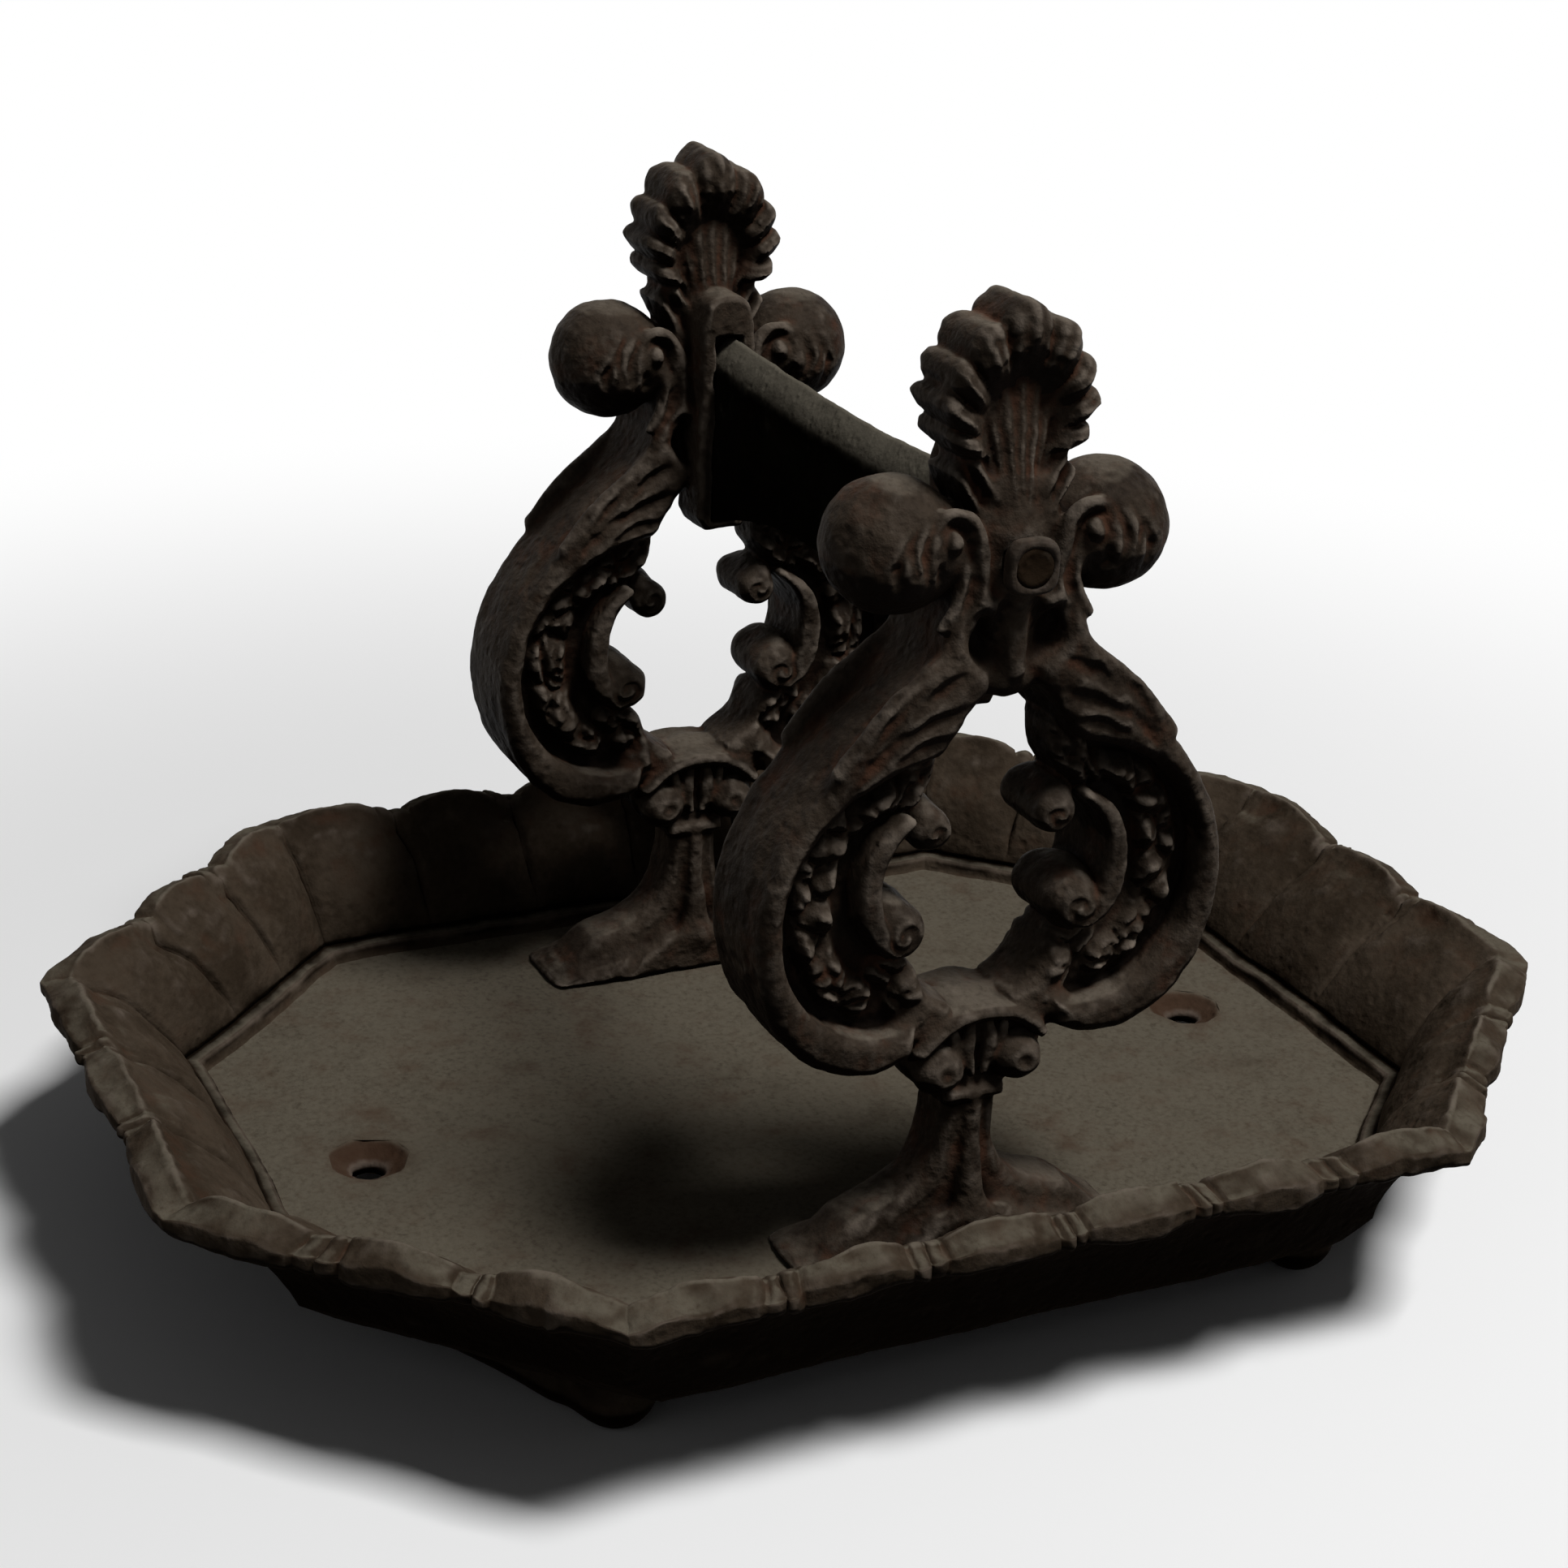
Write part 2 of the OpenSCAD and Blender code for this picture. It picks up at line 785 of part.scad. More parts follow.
module blade_nuts() {
    color(steel)
        for (s = [0, 180])
            rotate([0, 0, s])
                translate([support_x + neck_face + nut_t / 2, 0, floor_z + tenon_z])
                    difference() {
                        cube([nut_t, nut_w, nut_w], center = true);
                        rotate([0, 90, 0])
                            cylinder(d = tenon_d + 2 * fit, h = nut_t + 2 * over, center = true);
                    }
}

// Places a part at each base bolt
module at_bolts() {
    for (x = [-1, 1], y = [-1, 1])
        translate([x * support_x, y * bolt_spacing / 2, foot_h])
            children();
}

module base_bolts() {
    color(steel)
        at_bolts()
            union() {
                translate([0, 0, -washer_t - bolt_head_h / 2])
                    cube([bolt_head_w, bolt_head_w, bolt_head_h], center = true);
                translate([0, 0, -washer_t - fuse])
                    cylinder(d = bolt_d, h = washer_t + fuse + floor_t + bolt_in);
            }
}

module base_washers() {
    color(steel)
        at_bolts()
            translate([0, 0, -washer_t])
                difference() {
                    cylinder(d = washer_d, h = washer_t);
                    translate([0, 0, -over])
                        cylinder(d = bolt_d + 2 * fit, h = washer_t + 2 * over);
                }
}

tray();
front_support();
rear_support();
scraper_blade();
blade_nuts();
base_bolts();
base_washers();
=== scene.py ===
"""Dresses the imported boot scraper: a lobed tray, two sculpted supports, a worn blade and its fixings."""

from __future__ import annotations

import logging
import math
from dataclasses import dataclass, field
from enum import Enum
from typing import Sequence

import bpy
import numpy as np
from mathutils import Matrix, Vector, noise
from mathutils.geometry import delaunay_2d_cdt


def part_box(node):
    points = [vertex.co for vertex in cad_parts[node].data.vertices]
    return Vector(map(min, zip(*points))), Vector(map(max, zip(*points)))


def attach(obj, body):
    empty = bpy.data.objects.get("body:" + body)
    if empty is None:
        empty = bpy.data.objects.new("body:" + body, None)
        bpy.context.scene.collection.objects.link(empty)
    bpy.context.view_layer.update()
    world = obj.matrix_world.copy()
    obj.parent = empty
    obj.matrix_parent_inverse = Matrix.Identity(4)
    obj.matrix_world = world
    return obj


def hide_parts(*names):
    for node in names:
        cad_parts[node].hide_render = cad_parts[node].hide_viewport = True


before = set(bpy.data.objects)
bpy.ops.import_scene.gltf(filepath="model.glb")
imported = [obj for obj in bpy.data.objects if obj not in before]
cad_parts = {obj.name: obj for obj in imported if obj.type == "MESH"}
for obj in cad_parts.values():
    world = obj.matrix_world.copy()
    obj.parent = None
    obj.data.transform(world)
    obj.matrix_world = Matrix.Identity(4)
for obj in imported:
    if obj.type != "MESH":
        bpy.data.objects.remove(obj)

log = logging.getLogger("boot_scraper")

# A millimetre in metres
MM = 0.001
# Depth of empty clay, and a reach past all of it, in millimetres
FAR = 40.0
WIDE = 1000.0
# Least squared length of a span, so that none divides by 0
TINY = 1e-9
# Both faces of a support, as directions along X
FACES = (1, -1)
# Seed of the casting's unevenness, so that each run gives the same
CAST_SEED = 5
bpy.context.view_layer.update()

Points = Sequence[Sequence[float]]
Colour = tuple[float, float, float]
Piece = bpy.types.Object
Material = bpy.types.Material
Socket = bpy.types.NodeSocket


class Slot(Enum):
    """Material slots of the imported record."""

    TRAY = "tray_iron"
    SUPPORT = "support_iron"
    BLADE = "blade_iron"
    FIXING = "fixing_iron"


class Side(Enum):
    """The two ends of the blade, with the direction of each along X."""

    FRONT = 1
    REAR = -1


def smooth_path(points: Points, spans: int = 6) -> np.ndarray:
    """Runs a smooth curve through given points.

    Args:
        points: Points that the curve passes through.
        spans: Steps between two neighbouring points.

    Returns:
        The points of the curve, one row each.
    """
    given = np.array(points, dtype=float)
    ends = np.vstack([2 * given[0] - given[1], given, 2 * given[-1] - given[-2]])
    curve = []
    for before, start, stop, after in zip(ends, ends[1:], ends[2:], ends[3:]):
        for step in range(spans):
            t = step / spans
            bend = 2 * before - 5 * start + 4 * stop - after
            twist = 3 * start - before - 3 * stop + after
            curve.append(start + 0.5 * t * (stop - before + t * (bend + t * twist)))
    curve.append(given[-1])
    return np.array(curve)


def ramp(value: np.ndarray, low: float, high: float) -> np.ndarray:
    """Returns a smooth step from 0 at low to 1 at high."""
    t = np.clip((value - low) / (high - low), 0.0, 1.0)
    return t * t * (3 - 2 * t)


def wobble(points: np.ndarray, size: float, amount: float, seed: int) -> np.ndarray:
    """Gives each point a small smooth shift, as uneven casting does.

    Args:
        points: Points in millimetres.
        size: Size of the waves in millimetres.
        amount: Largest shift in millimetres.
        seed: Number that picks the pattern.

    Returns:
        One shift for each point, in millimetres.
    """
    start = Vector((seed * 17.3, seed * 5.1, seed * 9.7))
    return amount * np.array([noise.noise_vector(Vector(p) / size + start) for p in points])


def neighbour_mean(values: np.ndarray, edges: np.ndarray) -> np.ndarray:
    """Averages each vertex's neighbours.

    Args:
        values: One row for each vertex.
        edges: Pairs of vertex numbers.

    Returns:
        The mean of the neighbours' rows, for each vertex.
    """
    count = len(values)
    first, second = edges.T
    share = np.bincount(first, minlength=count) + np.bincount(second, minlength=count)
    columns = []
    for column in values.T:
        total = np.bincount(first, weights=column[second], minlength=count)
        total += np.bincount(second, weights=column[first], minlength=count)
        columns.append(total / np.maximum(share, 1))
    return np.stack(columns, axis=1)


def relax(points: np.ndarray, edges: np.ndarray, rounds: int, pull: float = 0.5) -> np.ndarray:
    """Smooths a mesh by drawing each vertex towards its neighbours.

    Args:
        points: Vertices, one row each.
        edges: Pairs of vertex numbers.
        rounds: How often the vertices are drawn.
        pull: Share of the way that they move each time.

    Returns:
        The smoothed vertices.
    """
    for _ in range(rounds):
        points = points + pull * (neighbour_mean(points, edges) - points)
    return points


def band(first: int, second: int, count: int) -> list[list[int]]:
    """Joins two rings of vertices with quads.

    Args:
        first: Number of the first vertex of one ring.
        second: Number of the first vertex of the other ring.
        count: Vertices in each ring.

    Returns:
        Vertex numbers of each quad.
    """
    quads = []
    for step in range(count):
        after = (step + 1) % count
        quads.append([first + step, first + after, second + after, second + step])
    return quads


def add_object(name: str, data: bpy.types.ID) -> Piece:
    """Makes an object and links it to the scene.

    Args:
        name: Name of the object.
        data: Its mesh, lamp or camera.

    Returns:
        The new object.
    """
    made = bpy.data.objects.new(name, data)
    bpy.context.scene.collection.objects.link(made)
    return made


def make_piece(name: str, points: np.ndarray, faces: list[Sequence[int]]) -> Piece:
    """Makes a smooth-shaded mesh object and links it to the scene.

    Args:
        name: Name of the piece.
        points: Vertices in millimetres.
        faces: Vertex numbers of each face.

    Returns:
        The new object.
    """
    mesh = bpy.data.meshes.new(name)
    mesh.from_pydata((points * MM).tolist(), [], faces)
    mesh.shade_smooth()
    mesh.update()
    return add_object(name, mesh)


def read_rows(items: bpy.types.bpy_prop_collection, name: str, width: int, kind: type = float) -> np.ndarray:
    """Reads one property of every vertex, normal or edge.

    Args:
        items: The mesh's vertices, normals or edges.
        name: Name of the property.
        width: How many numbers it has.
        kind: Type of the numbers.

    Returns:
        One row for each item.
    """
    values = np.empty(len(items) * width, dtype=kind)
    items.foreach_get(name, values)
    return values.reshape(-1, width)


def paint(piece: Piece, name: str, values: np.ndarray) -> None:
    """Stores a number for each vertex, for the materials to read.

    Args:
        piece: The mesh object.
        name: Name of the attribute.
        values: One number for each vertex.
    """
    layers = piece.data.attributes
    layer = layers.get(name) or layers.new(name, "FLOAT", "POINT")
    layer.data.foreach_set("value", values.astype(np.float32))


@dataclass(frozen=True)
class Relief:
    """How ridges and hollows are told from the smoothed surface.

    Attributes:
        fine_rounds: Smoothing rounds that show single ridges.
        fine_full: Height in millimetres of a full ridge.
        broad_rounds: Smoothing rounds that show deep recesses.
        broad_full: Depth in millimetres of a full recess.
        under_amount: How dark the painted shade on an underside is, as a share of a full recess.
        under_full: How steeply a face looks down where its painted shade is full.
    """

    fine_rounds: int
    fine_full: float
    broad_rounds: int
    broad_full: float
    under_amount: float = 0.9
    under_full: float = 0.45


def mark_relief(piece: Piece, relief: Relief, keep: np.ndarray | float = 1.0) -> None:
    """Stores how far each vertex stands out, and how deep it lies in a recess or on an underside.

    Args:
        piece: The mesh object.
        relief: How ridges and recesses are told.
        keep: Share of the relief that each vertex keeps.
    """
    mesh = piece.data
    points = read_rows(mesh.vertices, "co", 3) / MM
    normals = read_rows(mesh.vertex_normals, "vector", 3)
    edges = read_rows(mesh.edges, "vertices", 2, np.int64)
    fine = relax(points, edges, relief.fine_rounds)
    broad = relax(fine, edges, relief.broad_rounds)
    # Height sets the rubbed ridges, which also take a painted highlight; the recess depth and the faces that
    # look down set the painted shade in recesses and on undersides.
    height = np.sum((points - fine) * normals, axis=1) / relief.fine_full
    recess = -np.sum((points - broad) * normals, axis=1) / relief.broad_full
    under = relief.under_amount * ramp(-normals[:, 2], 0.0, relief.under_full)
    paint(piece, "relief", keep * np.clip(height, -1.0, 1.0))
    paint(piece, "recess", np.maximum(keep * np.clip(recess, 0.0, 1.0), under))


@dataclass
class Clay:
    """Half a block of clay, mirrored across Y, held as signed distances on a grid.

    Attributes:
        low: Lowest corner of the block, in millimetres. Its Y is not used.
        high: Highest corner of the block, in millimetres.
        step: Distance between grid points, in millimetres.
    """

    low: tuple[float, float, float]
    high: tuple[float, float, float]
    step: float = 0.75
    axes: list[np.ndarray] = field(init=False, repr=False)
    depth: np.ndarray = field(init=False, repr=False)

    def __post_init__(self) -> None:
        """Lays out the grid, with no clay in it yet."""
        along_x = np.arange(self.low[0], self.high[0] + self.step, self.step)
        along_y = np.arange(self.step / 2, self.high[1] + self.step, self.step)
        along_z = np.arange(self.low[2], self.high[2] + self.step, self.step)
        self.axes = [axis.astype(np.float32) for axis in (along_x, along_y, along_z)]
        self.depth = np.full([len(axis) for axis in self.axes], FAR, dtype=np.float32)

    def window(self, low: Sequence[float], high: Sequence[float]) -> tuple:
        """Finds the part of the grid between two corners.

        Args:
            low: Lowest corner in millimetres.
            high: Highest corner in millimetres.

        Returns:
            The grid slices and the X, Y and Z values there, shaped to combine.
        """
        cuts = []
        for axis, start, stop in zip(self.axes, low, high):
            cuts.append(slice(int(np.searchsorted(axis, start)), int(np.searchsorted(axis, stop))))
        x, y, z = (axis[cut] for axis, cut in zip(self.axes, cuts))
        return tuple(cuts), x[:, None, None], y[None, :, None], z[None, None, :]

    def press(self, cuts: tuple, shape: np.ndarray, blend: float, cut: bool) -> None:
        """Adds a shape to the clay or takes it away, with a soft join.

        Args:
            cuts: Grid slices that the shape covers.
            shape: Signed distances of the shape there.
            blend: Width of the soft join in millimetres.
            cut: True to take the shape away.
        """
        old = self.depth[cuts]
        if cut:
            old = -old
        share = np.clip(0.5 + 0.5 * (shape - old) / blend, 0.0, 1.0)
        new = shape + (old - shape) * share - blend * share * (1 - share)
        self.depth[cuts] = -new if cut else new

    def ball(self, centre: Sequence[float], radii: Sequence[float], turn: float = 0.0,
             blend: float = 1.5, cut: bool = False) -> None:
        """Presses in an egg shape.

        Args:
            centre: Its middle.
            radii: Its half sizes along X and, before turning, along Y and Z.
            turn: Degrees by which it is turned about X.
            blend: Width of the soft join.
            cut: True to take it away.
        """
        reach = max(radii) + blend + 2 * self.step
        cuts, x, y, z = self.window([c - reach for c in centre], [c + reach for c in centre])
        cos, sin = math.cos(math.radians(turn)), math.sin(math.radians(turn))
        x = x - centre[0]
        across = (y - centre[1]) * cos + (z - centre[2]) * sin
        along = (z - centre[2]) * cos - (y - centre[1]) * sin
        level = np.sqrt((x / radii[0]) ** 2 + (across / radii[1]) ** 2 + (along / radii[2]) ** 2)
        slope = np.sqrt(
            (x / radii[0] ** 2) ** 2 + (across / radii[1] ** 2) ** 2 + (along / radii[2] ** 2) ** 2
        )
        self.press(cuts, level * (level - 1) / np.maximum(slope, 1e-4), blend, cut)

    def rod(self, points: Points, radii: Sequence[float], blend: float = 1.0, cut: bool = False) -> None:
        """Presses in a rounded rod along a path.

        Args:
            points: Points of the path.
            radii: Radius at the start, at the end and at even steps between.
            blend: Width of the soft join.
            cut: True to take it away.
        """
        path = np.array(points, dtype=float)
        sizes = np.interp(np.linspace(0, 1, len(path)), np.linspace(0, 1, len(radii)), radii)
        reach = max(radii) + blend + 2 * self.step
        cuts, x, y, z = self.window(path.min(axis=0) - reach, path.max(axis=0) + reach)
        best = np.full(self.depth[cuts].shape, FAR, dtype=np.float32)
        for start, stop, thick, thin in zip(path, path[1:], sizes, sizes[1:]):
            run = stop - start
            dx, dy, dz = x - start[0], y - start[1], z - start[2]
            t = np.clip((dx * run[0] + dy * run[1] + dz * run[2]) / max(run @ run, TINY), 0.0, 1.0)
            gap = np.sqrt((dx - t * run[0]) ** 2 + (dy - t * run[1]) ** 2 + (dz - t * run[2]) ** 2)
            best = np.minimum(best, gap - (thick + t * (thin - thick)))
        self.press(cuts, best, blend, cut)

    def outline(self, points: Points) -> np.ndarray:
        """Measures the grid's Y and Z plane against a closed outline.

        Args:
            points: Corners of the outline in Y and Z.

        Returns:
            Signed distances, negative inside.
        """
        y, z = self.axes[1][:, None], self.axes[2][None, :]
        corners = np.array(points, dtype=float)
        nearest = np.full((len(self.axes[1]), len(self.axes[2])), FAR ** 2)
        inside = np.zeros(nearest.shape, dtype=bool)
        for start, stop in zip(corners, np.roll(corners, -1, axis=0)):
            run = stop - start
            dy, dz = y - start[0], z - start[1]
            t = np.clip((dy * run[0] + dz * run[1]) / max(run @ run, TINY), 0.0, 1.0)
            nearest = np.minimum(nearest, (dy - t * run[0]) ** 2 + (dz - t * run[1]) ** 2)
            if start[1] != stop[1]:
                crossing = (start[1] <= z) != (stop[1] <= z)
                inside ^= crossing & (dy < run[0] * dz / run[1])
        return np.where(inside, -1, 1) * np.sqrt(nearest)

    def stroke(self, points: Points, radii: Sequence[float]) -> np.ndarray:
        """Measures the grid's Y and Z plane against a broad stroke.

        Args:
            points: Points of its middle line in Y and Z.
            radii: Half width at the start, at the end and at even steps between.

        Returns:
            Signed distances, negative inside.
        """
        y, z = self.axes[1][:, None], self.axes[2][None, :]
        path = np.array(points, dtype=float)
        sizes = np.interp(np.linspace(0, 1, len(path)), np.linspace(0, 1, len(radii)), radii)
        nearest = np.full((len(self.axes[1]), len(self.axes[2])), FAR)
        for start, stop, thick, thin in zip(path, path[1:], sizes, sizes[1:]):
            run = stop - start
            dy, dz = y - start[0], z - start[1]
            t = np.clip((dy * run[0] + dz * run[1]) / max(run @ run, TINY), 0.0, 1.0)
            gap = np.hypot(dy - t * run[0], dz - t * run[1])
            nearest = np.minimum(nearest, gap - (thick + t * (thin - thick)))
        return nearest

    def slab(self, flat: np.ndarray, low_x: float, high_x: float, edge: float,
             blend: float = 1.5, cut: bool = False) -> None:
        """Presses in a plate with rounded edges.

        Args:
            flat: Signed distances of its outline in Y and Z.
            low_x: Where it starts along X.
            high_x: Where it ends along X.
            edge: Radius of its edges.
            blend: Width of the soft join.
            cut: True to take it away.
        """
        reach = blend + 2 * self.step
        cuts, x, _, _ = self.window([low_x - reach, -FAR, -FAR], [high_x + reach, WIDE, WIDE])
        face = np.abs(x - (low_x + high_x) / 2) - (high_x - low_x) / 2
        self.press(cuts, self.rounded(flat, face, edge), blend, cut)

    def relief(self, flat: np.ndarray, height: np.ndarray, edge: float, blend: float = 1.5) -> None:
        """Presses in a plate whose two faces follow a relief.

        Args:
            flat: Signed distances of its outline in Y and Z.
            height: Height of each face above the middle plane, over Y and Z.
            edge: Radius of its edges.
            blend: Width of the soft join.
        """
        slope_share = 0.8
        reach = float(height.max()) + blend + 2 * self.step
        cuts, x, _, _ = self.window([-reach, -FAR, -FAR], [reach, WIDE, WIDE])
        face = slope_share * (np.abs(x) - height[None]).astype(np.float32)
        self.press(cuts, self.rounded(flat, face, edge), blend, False)

    def rounded(self, flat: np.ndarray, face: np.ndarray, edge: float) -> np.ndarray:
        """Measures a plate whose edges are rounded.

        Args:
            flat: Signed distances of its outline in Y and Z.
            face: Signed distances of its two faces.
            edge: Radius of its edges.

        Returns:
            Signed distances of the plate.
        """
        rim = flat[None].astype(np.float32) + edge
        face = face + edge
        outer = np.hypot(np.maximum(rim, 0), np.maximum(face, 0))
        return outer + np.minimum(np.maximum(rim, face), 0) - edge

    def crumple(self, size: float, seed: int) -> np.ndarray:
        """Makes uneven pillows with sharp creases between them.

        Args:
            size: Width of a pillow in millimetres.
            seed: Picks other pillows.

        Returns:
            Height over Y and Z, from 0 in a crease to 1.
        """
        layer, gain, fullness = 7.3 * seed, 1.7, 0.6
        pillows = np.empty((len(self.axes[1]), len(self.axes[2])))
        for row, y in enumerate(self.axes[1]):
            for column, z in enumerate(self.axes[2]):
                near = noise.voronoi(Vector((y / size, z / size, layer)))[0]
                pillows[row, column] = near[1] - near[0]
        return np.clip(gain * pillows, 0.0, 1.0) ** fullness

    def trim(self, low: Sequence[float], high: Sequence[float]) -> None:
        """Cuts the clay off flat outside a box.

        Args:
            low: Lowest corner of the box.
            high: Highest corner of the box.
        """
        shapes = ((-1, 1, 1), (1, -1, 1), (1, 1, -1))
        for axis, start, stop, shape in zip(self.axes, low, high, shapes):
            outside = np.maximum(start - axis, axis - stop).reshape(shape)
            self.depth = np.maximum(self.depth, outside.astype(np.float32))

    def skin(self, rounds: int) -> tuple[np.ndarray, np.ndarray]:
        """Wraps the clay and its mirror image in a smooth mesh of quads.

        Args:
            rounds: Smoothing rounds over the mesh.

        Returns:
            Vertices in millimetres, and the vertex numbers of each quad.
        """
        whole = np.concatenate([self.depth[:, ::-1, :], self.depth], axis=1)
        inside = whole < 0
        cells = tuple(size - 1 for size in whole.shape)
        count = np.zeros(cells, dtype=np.float32)
        place = [np.zeros(cells, dtype=np.float32) for _ in range(3)]
        crossings = []
        for axis in range(3):
            order = (axis, (axis + 1) % 3, (axis + 2) % 3)
            near, solid = whole.transpose(order), inside.transpose(order)
            crossed = solid[:-1] != solid[1:]
            gap = np.where(crossed, near[:-1] - near[1:], 1.0)
            share = np.where(crossed, near[:-1] / gap, 0.0)
            crossings.append((order, crossed, solid[:-1]))
            tally = count.transpose(order)
            sums = [place[each].transpose(order) for each in order]
            for one in (0, 1):
                for two in (0, 1):
                    block = np.s_[:, one:crossed.shape[1] - 1 + one, two:crossed.shape[2] - 1 + two]
                    hit = crossed[block]
                    tally += hit
                    sums[0] += share[block]
                    sums[1] += hit * np.float32(one)
                    sums[2] += hit * np.float32(two)
        active = count > 0
        number = np.full(cells, -1, dtype=np.int64)
        number[active] = np.arange(int(active.sum()))
        where = np.argwhere(active) + np.stack([p[active] / count[active] for p in place], axis=1)
        points = where * self.step
        points += [self.axes[0][0], -self.axes[1][-1], self.axes[2][0]]
        quads = []
        for order, crossed, solid in crossings:
            ids = number.transpose(order)
            i, j, k = np.nonzero(crossed[:, 1:-1, 1:-1])
            ring = np.stack([ids[i, j, k], ids[i, j + 1, k], ids[i, j + 1, k + 1], ids[i, j, k + 1]], axis=1)
            outward = solid[:, 1:-1, 1:-1][i, j, k]
            quads.append(np.where(outward[:, None], ring, ring[:, ::-1]))
        faces = np.concatenate(quads)
        edges = np.concatenate([faces[:, [a, b]] for a, b in ((0, 1), (1, 2), (2, 3), (3, 0))])
        return relax(points, edges, rounds), faces


@dataclass(frozen=True)
class IronFinish:
    """One aged iron finish. Colours are linear.

    Attributes:
        name: Name of the material.
        dark: Colour of the darkest skin.
        brown: Colour of the lighter skin.
        rust: Colour of old rust in the hollows.
        worn: Colour of rubbed ridges, which also serves as their painted highlight.
        dust: Colour of the film on faces that look up.
        painted_shade: Colour of the painted shade in deep recesses and on undersides.
        rust_amount: How much rust there is.
        worn_and_highlight_amount: How far the ridges are rubbed and lit by a painted highlight.
        dust_amount: How thick the dust film is.
        painted_shade_amount: How strong the painted shade in recesses and on undersides is.
        roughness: Roughness of the plain skin.
        grain_size: Grains in a metre.
        grain_depth: Depth of the grain in metres.
        sheen: Level of the mirror sheen.
    """

    name: str
    dark: Colour
    brown: Colour
    rust: Colour
    worn: Colour
    dust: Colour
    painted_shade: Colour
    rust_amount: float
    worn_and_highlight_amount: float
    dust_amount: float
    painted_shade_amount: float
    roughness: float
    grain_size: float
    grain_depth: float
    sheen: float


# Each finish's grime colour is painted shade for recesses and undersides, and its worn colour is wear
# together with a painted highlight on the ridges; on the blade it also lights the top bevel.
SUPPORT_FINISH = IronFinish(
    name="support_iron", dark=(0.016, 0.0112, 0.0078), brown=(0.046, 0.034, 0.0245),
    rust=(0.072, 0.03, 0.017), worn=(0.165, 0.135, 0.108), dust=(0.115, 0.096, 0.074),
    painted_shade=(0.005, 0.0032, 0.0022), rust_amount=0.75, worn_and_highlight_amount=0.8, dust_amount=0.75, painted_shade_amount=1.0,
    roughness=0.52, grain_size=420.0, grain_depth=0.0016, sheen=0.015,
)
TRAY_FINISH = IronFinish(
    name="tray_iron", dark=(0.029, 0.0205, 0.0135), brown=(0.056, 0.0415, 0.029),
    rust=(0.05, 0.0245, 0.0145), worn=(0.15, 0.12, 0.097), dust=(0.104, 0.09, 0.067),
    painted_shade=(0.006, 0.004, 0.0025), rust_amount=0.6, worn_and_highlight_amount=0.55, dust_amount=0.9, painted_shade_amount=1.0,
    roughness=0.62, grain_size=380.0, grain_depth=0.0012, sheen=0.004,
)
BLADE_FINISH = IronFinish(
    name="blade_iron", dark=(0.006, 0.0055, 0.0038), brown=(0.013, 0.0115, 0.008),
    rust=(0.045, 0.025, 0.014), worn=(0.26, 0.232, 0.18), dust=(0.12, 0.106, 0.08),
    painted_shade=(0.004, 0.003, 0.002), rust_amount=0.3, worn_and_highlight_amount=0.9, dust_amount=0.9, painted_shade_amount=0.6,
    roughness=0.55, grain_size=500.0, grain_depth=0.0008, sheen=0.0,
)
FIXING_FINISH = IronFinish(
    name="fixing_iron", dark=(0.018, 0.013, 0.0092), brown=(0.042, 0.031, 0.023),
    rust=(0.075, 0.034, 0.019), worn=(0.13, 0.108, 0.09), dust=(0.1, 0.085, 0.068),
    painted_shade=(0.01, 0.007, 0.005), rust_amount=0.6, worn_and_highlight_amount=0.5, dust_amount=0.4, painted_shade_amount=0.9,
    roughness=0.55, grain_size=520.0, grain_depth=0.001, sheen=0.03,
)


